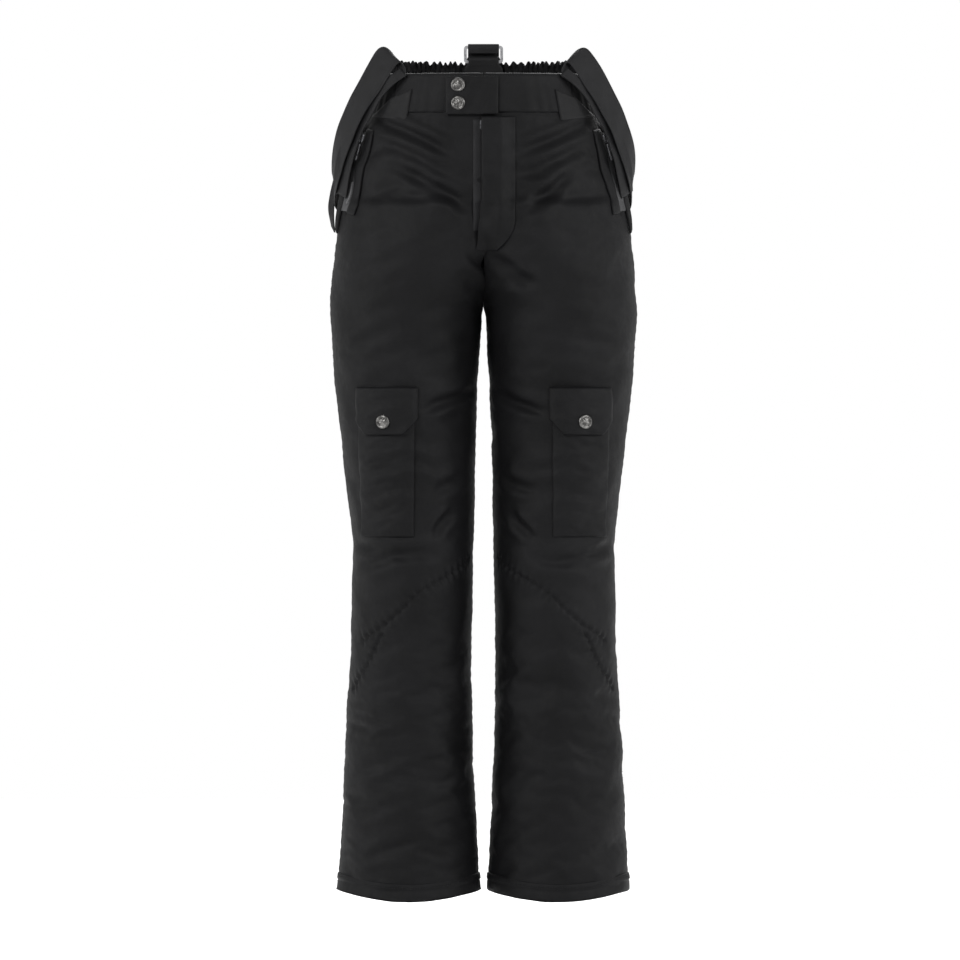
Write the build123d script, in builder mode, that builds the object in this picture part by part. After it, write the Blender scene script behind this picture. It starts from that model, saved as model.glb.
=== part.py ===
from build123d import *
from math import sqrt
import os

os.makedirs("parts", exist_ok=True)

# Insulated ski trousers, hanging as worn. Millimetres, +Z up, the front faces -Y,
# the wearer's left is +X. The origin is the middle of the waist opening, level with
# the top edge of the front waistband.

# ---------------------------------------------------------------- driving dimensions
CLOTH = 3.0                 # padded shell: outer fabric, filling and lining together
WEBBING_WIDTH = 40.0        # brace straps
WEBBING_THICKNESS = 1.6
SNAP_RADIUS = 9.0           # visible cap of a press stud
SOCKET_RADIUS = 5.5
STUD_RADIUS = 2.2
SNAP_LIFT = 0.6             # a flat cap's clearance from the curved cloth under it
BAND_HEIGHT = 50.0          # waistband
BACK_RISE = 12.0            # the gathered back stands this much above the front
BAND_PROUD = 2.0            # the waistband is thicker than the shell under it
SIDE_SEAM_Y = 6.0           # front and back panels meet here

BAND_BOTTOM = -BAND_HEIGHT
CROTCH = -296.0
THIGH_TOP = -386.0
THIGH_BOTTOM = -590.0
SHIN_TOP = -720.0
HEM_TOP = -1012.0
HEM_BOTTOM = -1034.0

# One half of the trousers is an elliptical tube about one leg: its height, how far it
# reaches to the outer and inner side, and its depth to the front and back of the origin.
# Above the crotch it reaches across the middle, and each half is cut at the centre.
SECTIONS = [
    (BACK_RISE, 124, -124, 92, 99),
    (0, 126, -126, 93, 100),
    (BAND_BOTTOM, 141, -141, 100, 107),
    (-75, 156, -148, 101.5, 115),
    (-125, 172, -118, 106, 127),
    (-200, 184, -68, 120, 135),
    (-245, 188, -34, 117, 134),
    (CROTCH, 192, 2, 108, 124),
    (THIGH_TOP, 185, 8, 97, 106),
    (-450, 178, 10, 96, 98),
    (THIGH_BOTTOM, 163, 13, 94, 86),
    (SHIN_TOP, 166, 15, 86, 83),
    (-840, 173, 13.5, 82, 88),
    (-960, 178, 8, 82, 94),
    (HEM_BOTTOM, 182, 5, 84, 98),
]

FLY_ZIP_TOP = -58.0
FLY_ZIP_BOTTOM = -200.0
FLY_SLIT = 8.0
TAPE_WIDTH = 11.0           # one side of a zip's tape
TEETH_WIDTH = 4.0
ZIP_SLIDER = (9.0, 12.0, 3.0)
ZIP_PULL = (5.0, 22.0, 1.2)
PULL_DROP = 7.0             # from the slider's middle down to the pull's upper end
PULL_LIFT = 1.7             # from the slider's underside out to the pull's middle

POCKET_ZIP_TOP = Vector(147, -38, -74)
POCKET_ZIP_BOTTOM = Vector(172, -41, -172)

CARGO_WIDTH = 80.0
CARGO_HEIGHT = 186.0
CARGO_DEPTH = 13.0          # the pleated pocket's own thickness
CARGO_FABRIC = 1.4
FLAP_WIDTH = 88.0
FLAP_HEIGHT = 59.0
FLAP_CORNER = 20.0          # the flap's cut-off lower corners

RING_WIDTH = 49.0
RING_HEIGHT = 22.0
RING_WIRE = 3.5

CENTRE_GAP = 1.0            # half the gap between the two front waistbands
HANGER_Y = 95.2             # the hanger loop's plane, inside the back waistband
HANGER_LENGTH = 70.0
HANGER_TAPE = 8.0
HANGER_DROP = -40.0
HANGER_THICKNESS = 1.2

TAPE_INNER = 0.3            # a zip tape lies this much off the cloth
TAPE_OUTER = 1.1
SHIELD_WIDTH = 28.0
SHIELD_THICKNESS = 2.0

FAR = 400.0                 # larger than any half of the trousers
CUT_DEPTH = 14.0            # how far a stamp reaches through the cloth


# ---------------------------------------------------------------- shapes used again
def section(z):
    """The half tube's outer, inner, front and back reach at one height."""
    for above, below in zip(SECTIONS, SECTIONS[1:]):
        if below[0] <= z <= above[0]:
            share = (above[0] - z) / (above[0] - below[0])
            return [a + (b - a) * share for a, b in zip(above[1:], below[1:])]
    raise ValueError(f"no section at {z}")


def tube_solid(z_top, z_bottom, offset):
    """The half tube between two heights, grown by an offset, as one solid."""
    inside = [s[0] for s in SECTIONS if z_bottom < s[0] < z_top]
    with BuildPart() as solid:
        for z in [z_top] + inside + [z_bottom]:
            outer, inner, front, back = section(z)
            with BuildSketch(Plane.XY.offset(z)):
                with Locations(((outer + inner) / 2, (back - front) / 2)):
                    Ellipse((outer - inner) / 2 + offset, (front + back) / 2 + offset)
        loft(ruled=True)
    return solid.part


def tube_wall(z_top, z_bottom, inner_offset, outer_offset):
    """The half tube's wall between two offsets from its outer face."""
    with BuildPart() as wall:
        add(tube_solid(z_top, z_bottom, outer_offset))
        add(tube_solid(z_top, z_bottom, inner_offset), mode=Mode.SUBTRACT)
    return wall.part


def face_point(x, z, front=True):
    """A point on the half tube's face, and the level direction out of the cloth there."""
    outer, inner, reach_front, reach_back = section(z)
    half_width = (outer - inner) / 2
    half_depth = (reach_front + reach_back) / 2
    across = (x - (outer + inner) / 2) / half_width
    along = sqrt(1 - across * across) * (-1 if front else 1)
    point = Vector(x, (reach_back - reach_front) / 2 + half_depth * along, z)
    return point, Vector(across / half_width, along / half_depth, 0).normalized()


def face_plane(x, z, offset=0.0, front=True):
    """A plane on the half tube's face: its Z points out of the cloth, its Y points up."""
    point, out = face_point(x, z, front)
    level = Vector(-out.Y, out.X, 0)
    rise = face_point(x, z + 1, front)[0] - face_point(x, z - 1, front)[0]
    square = level.cross(rise).normalized()
    return Plane(origin=point + square * offset, x_dir=level, z_dir=square)


def stamp(wall, outline, depth=CUT_DEPTH):
    """The piece of a wall that lies under an outline."""
    with BuildPart() as piece:
        add(wall)
        extrude(outline, amount=depth, both=True, mode=Mode.INTERSECT)
    return piece.part


def box_between(low, high):
    """A box from its lowest to its highest corner."""
    size = [h - l for l, h in zip(low, high)]
    middle = tuple((h + l) / 2 for l, h in zip(low, high))
    with BuildPart() as block:
        with Locations(middle):
            Box(*size)
    return block.part


def save(shape, name):
    """Label one sub-part and write its STEP file."""
    shape.label = name
    export_step(shape, f"parts/{name}.step")


def save_pair(shape, name):
    """Write the wearer's left piece and its mirror image for the right."""
    save(shape, f"{name}_left")
    save(mirror(shape, about=Plane.YZ), f"{name}_right")


# ---------------------------------------------------------------- hips
def hip_panel(front):
    """A quarter of the seat, from the waistband to the crotch."""
    wall = tube_wall(BAND_BOTTOM, CROTCH, -CLOTH, 0)
    y_low, y_high = (-FAR, SIDE_SEAM_Y) if front else (SIDE_SEAM_Y, FAR)
    with BuildPart() as panel:
        add(wall)
        add(box_between((0, y_low, CROTCH), (FAR, y_high, BAND_BOTTOM)), mode=Mode.INTERSECT)
    return panel.part


# The zipped hand pocket runs down the side; its plane lies on the cloth there.
pocket_zip_run = POCKET_ZIP_BOTTOM - POCKET_ZIP_TOP
pocket_zip_middle = (POCKET_ZIP_TOP + POCKET_ZIP_BOTTOM) * 0.5
pocket_zip_down = pocket_zip_run.normalized()
side_out = face_plane(pocket_zip_middle.X, pocket_zip_middle.Z).z_dir
pocket_zip_out = (side_out - pocket_zip_down * side_out.dot(pocket_zip_down)).normalized()
POCKET_ZIP_PLANE = Plane(
    origin=pocket_zip_middle,
    x_dir=(pocket_zip_down * -1).cross(pocket_zip_out),
    z_dir=pocket_zip_out,
)
POCKET_ZIP_LENGTH = pocket_zip_run.length

with BuildSketch(POCKET_ZIP_PLANE) as pocket_slit:
    Rectangle(TEETH_WIDTH + 1, POCKET_ZIP_LENGTH)

# front_panel: both front hips, slit for the fly and for the hand pocket
with BuildPart() as front_panel:
    add(hip_panel(front=True))
    add(
        box_between((0, -FAR, FLY_ZIP_BOTTOM), (FLY_SLIT / 2, 0, BAND_BOTTOM)),
        mode=Mode.SUBTRACT,
    )
    extrude(pocket_slit.sketch, amount=CUT_DEPTH, both=True, mode=Mode.SUBTRACT)
save_pair(front_panel.part, "front_panel")

# back_panel: both seat quarters
with BuildPart() as back_panel:
    add(hip_panel(front=False))
save_pair(back_panel.part, "back_panel")

# waistband_front: from the fly to the side seam
band_wall = tube_wall(0, BAND_BOTTOM, -CLOTH, BAND_PROUD)
with BuildPart() as waistband_front:
    add(band_wall)
    add(
        box_between((CENTRE_GAP, -FAR, BAND_BOTTOM), (FAR, SIDE_SEAM_Y, 0)),
        mode=Mode.INTERSECT,
    )
save_pair(waistband_front.part, "waistband_front")

# waistband_back: the gathered elastic back, higher than the front
with BuildPart() as waistband_back:
    add(tube_wall(BACK_RISE, BAND_BOTTOM, -CLOTH, BAND_PROUD))
    add(
        box_between((-FAR, SIDE_SEAM_Y, BAND_BOTTOM), (FAR, FAR, BACK_RISE)),
        mode=Mode.INTERSECT,
    )
save(waistband_back.part, "waistband_back")

# hanger_loop: a narrow tape sewn inside the back of the waistband
hanger_post = (HANGER_LENGTH - HANGER_TAPE) / 2
with BuildPart() as hanger_loop:
    with BuildSketch(Plane.XZ.offset(-HANGER_Y)):
        with Locations((0, HANGER_DROP)):
            Rectangle(HANGER_LENGTH, HANGER_TAPE)
        for x in (-hanger_post, hanger_post):
            with Locations((x, HANGER_DROP + HANGER_TAPE)):
                Rectangle(HANGER_TAPE, 2.5 * HANGER_TAPE)
    extrude(amount=HANGER_THICKNESS)
save(hanger_loop.part, "hanger_loop")

# ---------------------------------------------------------------- fly
FLY_WALL_TOP = BAND_BOTTOM - 2
FLY_WALL_BOTTOM = FLY_ZIP_BOTTOM - 10
SHIELD_OUTER = -CLOTH - 0.6
fly_middle = (FLY_ZIP_TOP + FLY_ZIP_BOTTOM) / 2
fly_length = FLY_ZIP_TOP - FLY_ZIP_BOTTOM
FLY_PLANE = Plane(origin=(0, -104, fly_middle), x_dir=(1, 0, 0), z_dir=(0, -1, 0))

# fly_zip_tapes: the zip's two woven tapes, on the cloth either side of the slit
with BuildPart() as fly_zip_tape:
    with BuildSketch(FLY_PLANE) as tape_outline:
        with Locations((TEETH_WIDTH / 2 + TAPE_WIDTH / 2, 0)):
            Rectangle(TAPE_WIDTH, fly_length)
    add(stamp(tube_wall(FLY_WALL_TOP, FLY_WALL_BOTTOM, TAPE_INNER, TAPE_OUTER), tape_outline.sketch))
with BuildPart() as fly_zip_tapes:
    add(fly_zip_tape.part)
    mirror(about=Plane.YZ)
save(fly_zip_tapes.part, "fly_zip_tapes")

# fly_zip_teeth: the closed chain of teeth
with BuildPart() as fly_zip_teeth:
    with BuildSketch(FLY_PLANE) as teeth_outline:
        Rectangle(TEETH_WIDTH - 0.6, fly_length)
    add(stamp(tube_wall(FLY_WALL_TOP, FLY_WALL_BOTTOM, -0.6, 1.8), teeth_outline.sketch))
save(fly_zip_teeth.part, "fly_zip_teeth")

# fly_shield: the fabric guard behind the zip
with BuildPart() as fly_shield:
    with BuildSketch(FLY_PLANE) as shield_outline:
        with Locations((SHIELD_WIDTH / 2 - 1, 0)):
            Rectangle(SHIELD_WIDTH, fly_length + 8)
    shield_wall = tube_wall(
        BAND_BOTTOM - 1,
        FLY_WALL_BOTTOM - 2,
        SHIELD_OUTER - SHIELD_THICKNESS,
        SHIELD_OUTER,
    )
    add(stamp(shield_wall, shield_outline.sketch))
save(fly_shield.part, "fly_shield")


def zip_slider(plane):
    """A zip slider lying on a plane, with a bridge for its pull."""
    width, length, thickness = ZIP_SLIDER
    with BuildPart() as slider:
        with BuildSketch(plane):
            RectangleRounded(width, length, 2.5)
        extrude(amount=thickness - 1)
        with BuildSketch(plane.offset(thickness - 1)):
            with Locations((0, 3.6), (0, -3.6)):
                Rectangle(3, 2)
        extrude(amount=1.2)
        with BuildSketch(plane.offset(thickness + 0.1)):
            Rectangle(3, 9.2)
        extrude(amount=1)
    return slider.part


def zip_pull(plane):
    """A zip's pull tab, hanging below the slider. It swings about its upper end."""
    width, length, thickness = ZIP_PULL
    with BuildPart() as pull:
        with BuildSketch(plane.offset(PULL_LIFT)):
            with Locations((0, -PULL_DROP - length / 2)):
                RectangleRounded(width, length, 2)
            with Locations((0, -PULL_DROP - length + 4.5)):
                Circle(1.3, mode=Mode.SUBTRACT)
        extrude(amount=thickness / 2, both=True)
    return pull.part


# The sliders stand on the closed teeth at the upper end of their zips. The fly slider's
# straight path runs just in front of the tapes, which curve with the cloth.
FLY_LEAN = 0.055            # the path leans forward this much for each unit down
FLY_SLIDER_START = (0, -104.2, -65)
fly_out = Vector(0, -1, FLY_LEAN).normalized()
FLY_SLIDER_PLANE = Plane(origin=FLY_SLIDER_START, x_dir=(1, 0, 0), z_dir=fly_out)
save(zip_slider(FLY_SLIDER_PLANE), "fly_zip_slider")
save(zip_pull(FLY_SLIDER_PLANE), "fly_zip_pull")

# fly_flap: the storm flap over the fly, stitched down its far edge in a J
FLAP_FREE_X = -3.0
FLAP_HINGE_X = 40.0
FLY_FLAP_BOTTOM = -222.0
with BuildPart() as fly_flap:
    with BuildSketch(Plane.XZ.offset(80)) as fly_flap_outline:
        with BuildLine():
            Polyline(
                (FLAP_FREE_X, BAND_BOTTOM - 4),
                (FLAP_FREE_X, FLY_FLAP_BOTTOM),
                (18, FLY_FLAP_BOTTOM),
            )
            Spline((18, FLY_FLAP_BOTTOM), (33, -208), (FLAP_HINGE_X, -175), tangents=((1, 0), (0, 1)))
            Polyline(
                (FLAP_HINGE_X, -175),
                (FLAP_HINGE_X, BAND_BOTTOM - 4),
                (FLAP_FREE_X, BAND_BOTTOM - 4),
            )
        make_face()
    add(stamp(tube_wall(BAND_BOTTOM - 3, -225, 8.4, 10.2), fly_flap_outline.sketch, 60))
save(fly_flap.part, "fly_flap")

# ---------------------------------------------------------------- waist fastening
TAB_FREE_X = -46.0
TAB_HINGE_X = 18.0
TAB_TOP = -4.0
TAB_BOTTOM = -52.0
TAB_GAP = 2.6               # room for the press studs between the band and the tab
TAB_INNER = BAND_PROUD + TAB_GAP
TAB_OUTER = TAB_INNER + 1.8
WAIST_SNAP_X = -30.6
WAIST_SNAP_HEIGHTS = (-15.0, -37.5)

# waist_tab: the overlapping end of the waistband
with BuildPart() as waist_tab:
    with BuildSketch(Plane.XZ.offset(90)) as tab_outline:
        with Locations(((TAB_FREE_X + TAB_HINGE_X) / 2, (TAB_TOP + TAB_BOTTOM) / 2)):
            RectangleRounded(TAB_HINGE_X - TAB_FREE_X, TAB_TOP - TAB_BOTTOM, 2.5)
    add(stamp(tube_wall(0, -55, TAB_INNER, TAB_OUTER), tab_outline.sketch, 40))
save(waist_tab.part, "waist_tab")


def snap_cap(plane):
    """A press stud's domed cap, with a raised centre."""
    with BuildPart() as cap:
        with BuildSketch(plane):
            Circle(SNAP_RADIUS)
        extrude(amount=1.6)
        fillet(cap.edges().group_by(Axis(plane.origin, plane.z_dir))[-1], 1.0)
        with BuildSketch(plane.offset(1.6)):
            Circle(SNAP_RADIUS - 3.2)
        extrude(amount=0.8, taper=20)
    return cap.part


def snap_socket(plane):
    """The ring under the cloth that clips over the stud."""
    with BuildPart() as socket:
        with BuildSketch(plane):
            Circle(SOCKET_RADIUS)
            Circle(STUD_RADIUS + 0.4, mode=Mode.SUBTRACT)
        extrude(amount=-0.9)
    return socket.part


def snap_stud(plane):
    """The stud that stands on the cloth under the socket."""
    with BuildPart() as stud:
        with BuildSketch(plane):
            Circle(SOCKET_RADIUS)
        extrude(amount=0.5)
        with BuildSketch(plane.offset(0.5)):
            Circle(STUD_RADIUS)
        extrude(amount=1.2)
    return stud.part


# waist_tab_snaps and waist_studs: two press studs, one above the other
with BuildPart() as waist_tab_snaps:
    for height in WAIST_SNAP_HEIGHTS:
        add(snap_cap(face_plane(WAIST_SNAP_X, height, TAB_OUTER + SNAP_LIFT)))
        add(snap_socket(face_plane(WAIST_SNAP_X, height, TAB_INNER - 0.3)))
save(waist_tab_snaps.part, "waist_tab_snaps")

with BuildPart() as waist_studs:
    for height in WAIST_SNAP_HEIGHTS:
        add(snap_stud(face_plane(WAIST_SNAP_X, height, BAND_PROUD + 0.3)))
save(waist_studs.part, "waist_studs")

# ---------------------------------------------------------------- hand pockets
SIDE_WALL_TOP = -58.0
SIDE_WALL_BOTTOM = -190.0
BAG_WIDTH = 86.0
BAG_HEIGHT = 150.0
BAG_FABRIC = 1.0
BAG_OUTER = -4.0            # the bag hangs this far inside the shell's outer face
BAG_INNER = -12.0
BAG_TOP = -70.0
BAG_BOTTOM = -240.0
BAG_CUT = 34.0

# hand_pocket_tape: the zip's tapes either side of the pocket slit
with BuildPart() as hand_pocket_tape:
    with BuildSketch(POCKET_ZIP_PLANE) as pocket_tape_outline:
        for side in (-1, 1):
            with Locations((side * (TEETH_WIDTH / 2 + 3.6), 0)):
                Rectangle(6, POCKET_ZIP_LENGTH + 6)
    add(
        stamp(
            tube_wall(SIDE_WALL_TOP, SIDE_WALL_BOTTOM, TAPE_INNER, TAPE_OUTER),
            pocket_tape_outline.sketch,
        )
    )
save_pair(hand_pocket_tape.part, "hand_pocket_tape")

# hand_pocket_teeth: the closed chain of teeth in the slit
with BuildPart() as hand_pocket_teeth:
    with BuildSketch(POCKET_ZIP_PLANE) as pocket_teeth_outline:
        Rectangle(TEETH_WIDTH - 0.4, POCKET_ZIP_LENGTH - 2)
    add(
        stamp(
            tube_wall(SIDE_WALL_TOP, SIDE_WALL_BOTTOM, -1.0, 1.6),
            pocket_teeth_outline.sketch,
        )
    )
save_pair(hand_pocket_teeth.part, "hand_pocket_teeth")

# hand_pocket_bag: the pocket's flat bag inside the shell
with BuildPart() as hand_pocket_bag:
    bag_plane = face_plane(135, -150)
    with BuildSketch(bag_plane) as bag_outline:
        RectangleRounded(BAG_WIDTH, BAG_HEIGHT, 16)
    with BuildSketch(bag_plane) as bag_inside:
        RectangleRounded(BAG_WIDTH - 3 * BAG_FABRIC, BAG_HEIGHT - 3 * BAG_FABRIC, 15)
    bag_outer = tube_wall(BAG_TOP, BAG_BOTTOM, BAG_INNER, BAG_OUTER)
    bag_inner = tube_wall(BAG_TOP, BAG_BOTTOM, BAG_INNER + BAG_FABRIC, BAG_OUTER - BAG_FABRIC)
    add(stamp(bag_outer, bag_outline.sketch, BAG_CUT))
    add(stamp(bag_inner, bag_inside.sketch, BAG_CUT), mode=Mode.SUBTRACT)
save_pair(hand_pocket_bag.part, "hand_pocket_bag")

# The slider rides clear of the teeth and reaches the lower end of the zip.
POCKET_SLIDER_PLANE = Plane(
    origin=POCKET_ZIP_TOP + pocket_zip_down * 8 + pocket_zip_out * 3.4,
    x_dir=POCKET_ZIP_PLANE.x_dir,
    z_dir=pocket_zip_out,
)
save_pair(zip_slider(POCKET_SLIDER_PLANE), "hand_pocket_slider")
save_pair(zip_pull(POCKET_SLIDER_PLANE), "hand_pocket_pull")

# ---------------------------------------------------------------- braces
# brace_anchor: the tab on the waistband that holds the front end of a brace
with BuildPart() as brace_anchor:
    anchor_plane = face_plane(112, -32)
    with BuildSketch(anchor_plane) as anchor_outline:
        with BuildLine():
            Polyline(
                (-27, 18), (-27, -16), (-22, -26), (24, -19), (6, 10), (-27, 18)
            )
        make_face()
    add(stamp(tube_wall(0, -64, BAND_PROUD + 0.3, BAND_PROUD + 2.1), anchor_outline.sketch))
save_pair(brace_anchor.part, "brace_anchor")

# brace_back_tab: folded fabric on the inside of the back waistband, round the ring
TAB_Y = 90.5
RING_Z = 26.0
with BuildPart() as brace_back_tab:
    with BuildSketch(Plane.YZ) as back_tab_profile:
        with BuildLine():
            back_tab_line = Polyline(
                (TAB_Y, -38),
                (TAB_Y, 19.5),
                (TAB_Y + 1.2, 21.5),
                (TAB_Y + 5.8, 21.5),
                (TAB_Y + 7, 19.5),
                (TAB_Y + 7, 13.6),
            )
        trace(line_width=1.4)
    extrude(amount=18.5, both=True)
save(brace_back_tab.part, "brace_back_tab")

# brace_ring: the flat wire ring that joins the tab and the strap
with BuildPart() as brace_ring:
    with BuildSketch(Plane.XZ.offset(-TAB_Y - 3.5)):
        with Locations((0, RING_Z)):
            RectangleRounded(RING_WIDTH, RING_HEIGHT, 4)
            RectangleRounded(
                RING_WIDTH - 2 * RING_WIRE, RING_HEIGHT - 2 * RING_WIRE, 1.5, mode=Mode.SUBTRACT
            )
    extrude(amount=RING_WIRE / 2, both=True)
save(brace_ring.part, "brace_ring")

# brace_back_strap: the single strap behind the back, folded over the ring
BACK_STRAP_LOW = -100.0
with BuildPart() as brace_back_strap:
    with BuildSketch(Plane.YZ) as back_strap_profile:
        with BuildLine():
            back_strap_line = Polyline(
                (TAB_Y + 0.2, 27),
                (TAB_Y + 0.2, 37),
                (TAB_Y + 1.8, 38.8),
                (TAB_Y + 6, 38.8),
                (108, 24),
                (119, BAND_BOTTOM),
                (143, BACK_STRAP_LOW),
            )
        trace(line_width=WEBBING_THICKNESS)
    extrude(amount=WEBBING_WIDTH / 2 - 0.5, both=True)
save(brace_back_strap.part, "brace_back_strap")

# brace_strap: one side's strap. It rises over the front waistband, hangs down outside
# the hip, turns under its lowest point and climbs the back to the single strap.
# Each pair is the front edge and the back edge of the webbing.
STRAP_EDGES = [
    ((98, -64, 6), (116, -39, 30)),
    ((107, -64, 12), (131, -34, 31)),
    ((129, -56, -19), (154, -28, -6)),
    ((152, -50, -55), (175, -18, -48)),
    ((173, -38, -99), (187, -2, -86)),
    ((186, -16, -137), (190, 20, -118)),
    ((184, 22, -164), (187, 34, -126)),
    ((174, 64, -172), (178, 66, -132)),
    ((140, 108, -160), (146, 110, -120)),
    ((88, 140, -132), (92, 142, -92)),
    ((42, 149, -108), (42, 149, -68)),
    ((23, 150, -100), (23, 150, -60)),
]


def webbing_plane(k):
    """The plane across the strap at one pair: its X runs from front edge to back edge."""
    middles = [(Vector(*front) + Vector(*back)) * 0.5 for front, back in STRAP_EDGES]
    front, back = STRAP_EDGES[k]
    across = (Vector(*back) - Vector(*front)).normalized()
    along = middles[min(k + 1, len(middles) - 1)] - middles[max(k - 1, 0)]
    square = (along - across * along.dot(across)).normalized()
    return Plane(origin=middles[k], x_dir=across, z_dir=square)


with BuildPart() as brace_strap:
    for k in range(len(STRAP_EDGES)):
        with BuildSketch(webbing_plane(k)):
            Rectangle(WEBBING_WIDTH, WEBBING_THICKNESS)
    loft(ruled=True)
save_pair(brace_strap.part, "brace_strap")

# brace_adjuster: the length slider, a flat frame round the strap at the back of the hip
ADJUSTER_PAIR = 8
with BuildPart() as brace_adjuster:
    here = webbing_plane(ADJUSTER_PAIR)
    beyond = webbing_plane(ADJUSTER_PAIR + 1)
    adjuster_plane = Plane(
        origin=(here.origin + beyond.origin) * 0.5,
        x_dir=here.x_dir + beyond.x_dir,
        z_dir=beyond.origin - here.origin,
    )
    with BuildSketch(adjuster_plane):
        RectangleRounded(WEBBING_WIDTH + 10, 9, 2)
        Rectangle(WEBBING_WIDTH + 3, 5, mode=Mode.SUBTRACT)
    extrude(amount=7, both=True)
save_pair(brace_adjuster.part, "brace_adjuster")

# ---------------------------------------------------------------- legs
LEG_TUBES = {
    "hip_sleeve": (CROTCH, THIGH_TOP),
    "knee_sleeve": (THIGH_BOTTOM, SHIN_TOP),
}
for name, (z_top, z_bottom) in LEG_TUBES.items():
    with BuildPart() as leg_sleeve:
        add(tube_wall(z_top, z_bottom, -CLOTH, 0))
    save_pair(leg_sleeve.part, name)

LEG_PANELS = {
    "thigh": (THIGH_TOP, THIGH_BOTTOM),
    "shin": (SHIN_TOP, HEM_TOP),
}
for name, (z_top, z_bottom) in LEG_PANELS.items():
    leg_wall = tube_wall(z_top, z_bottom, -CLOTH, 0)
    for face, y_low, y_high in (("front", -FAR, SIDE_SEAM_Y), ("back", SIDE_SEAM_Y, FAR)):
        with BuildPart() as leg_panel:
            add(leg_wall)
            add(
                box_between((-FAR, y_low, z_bottom), (FAR, y_high, z_top)),
                mode=Mode.INTERSECT,
            )
        save_pair(leg_panel.part, f"{name}_{face}")

# hem: the stitched band at the bottom of a leg
with BuildPart() as hem:
    add(tube_wall(HEM_TOP, HEM_BOTTOM, -CLOTH - 0.5, 1.2))
save_pair(hem.part, "hem")

# snow_cuff: the inner gaiter, a cone down to an elastic that grips the boot
CUFF_LEVELS = ((-846, -3.6), (-900, -16), (-1000, -21), (-1026, -21))
CUFF_FABRIC = 1.2


def cuff_solid(inset):
    """The gaiter's outline, made smaller by an inset, as one solid."""
    with BuildPart() as solid:
        for z, offset in CUFF_LEVELS:
            outer, inner, front, back = section(z)
            with BuildSketch(Plane.XY.offset(z)):
                with Locations(((outer + inner) / 2, (back - front) / 2)):
                    Ellipse(
                        (outer - inner) / 2 + offset - inset,
                        (front + back) / 2 + offset - inset,
                    )
        loft(ruled=True)
    return solid.part


with BuildPart() as snow_cuff:
    add(cuff_solid(0))
    add(cuff_solid(CUFF_FABRIC), mode=Mode.SUBTRACT)
save_pair(snow_cuff.part, "snow_cuff")

# ---------------------------------------------------------------- cargo pockets
CARGO_X = 122.0
CARGO_TOP = -392.0
CARGO_BASE = 1.2            # the pocket stands this far off the leg
FLAP_INNER = CARGO_BASE + CARGO_DEPTH + 2.6
FLAP_OUTER = FLAP_INNER + 1.8
cargo_plane = face_plane(CARGO_X, CARGO_TOP - CARGO_HEIGHT / 2)
flap_plane = face_plane(CARGO_X, CARGO_TOP - FLAP_HEIGHT / 2)
snap_height = CARGO_TOP - FLAP_HEIGHT + 16
CARGO_CUT = 60.0

# cargo_pocket: an open-topped pleated pocket on the outer front of the thigh
cargo_outer = tube_wall(THIGH_TOP, THIGH_BOTTOM, CARGO_BASE, CARGO_BASE + CARGO_DEPTH)
cargo_inner = tube_wall(
    THIGH_TOP, THIGH_BOTTOM, CARGO_BASE + CARGO_FABRIC, CARGO_BASE + CARGO_DEPTH - CARGO_FABRIC
)
with BuildSketch(cargo_plane) as cargo_outline:
    Rectangle(CARGO_WIDTH, CARGO_HEIGHT)
with BuildSketch(cargo_plane) as cargo_hollow:
    with Locations((0, 10)):
        Rectangle(CARGO_WIDTH - 2 * CARGO_FABRIC, CARGO_HEIGHT - 2 * CARGO_FABRIC + 20)
with BuildPart() as cargo_pocket:
    add(stamp(cargo_outer, cargo_outline.sketch, CARGO_CUT))
    add(stamp(cargo_inner, cargo_hollow.sketch, CARGO_CUT), mode=Mode.SUBTRACT)
save_pair(cargo_pocket.part, "cargo_pocket")

# cargo_flap: the flap over the pocket, hinged along its top edge
with BuildPart() as cargo_flap:
    half = FLAP_WIDTH / 2
    low = -FLAP_HEIGHT / 2
    with BuildSketch(flap_plane) as flap_outline:
        with BuildLine():
            Polyline(
                (-half, -low),
                (-half, low + FLAP_CORNER),
                (-half + FLAP_CORNER, low),
                (half - FLAP_CORNER, low),
                (half, low + FLAP_CORNER),
                (half, -low),
                (-half, -low),
            )
        make_face()
    add(
        stamp(
            tube_wall(THIGH_TOP, -460, FLAP_INNER, FLAP_OUTER),
            flap_outline.sketch,
            CARGO_CUT,
        )
    )
save_pair(cargo_flap.part, "cargo_flap")

# cargo_snap and cargo_stud: the press stud that closes the flap
with BuildPart() as cargo_snap:
    add(snap_cap(face_plane(CARGO_X, snap_height, FLAP_OUTER + SNAP_LIFT)))
    add(snap_socket(face_plane(CARGO_X, snap_height, FLAP_INNER - 0.4)))
save_pair(cargo_snap.part, "cargo_snap")

with BuildPart() as cargo_stud:
    add(snap_stud(face_plane(CARGO_X, snap_height, CARGO_BASE + CARGO_DEPTH + 0.3)))
save_pair(cargo_stud.part, "cargo_stud")
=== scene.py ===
"""Insulated ski trousers with elastic braces: fabric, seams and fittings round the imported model."""
import math
from contextlib import contextmanager

import bmesh
import bpy
import numpy as np
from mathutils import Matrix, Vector
from mathutils.bvhtree import BVHTree
from mathutils.kdtree import KDTree


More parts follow.
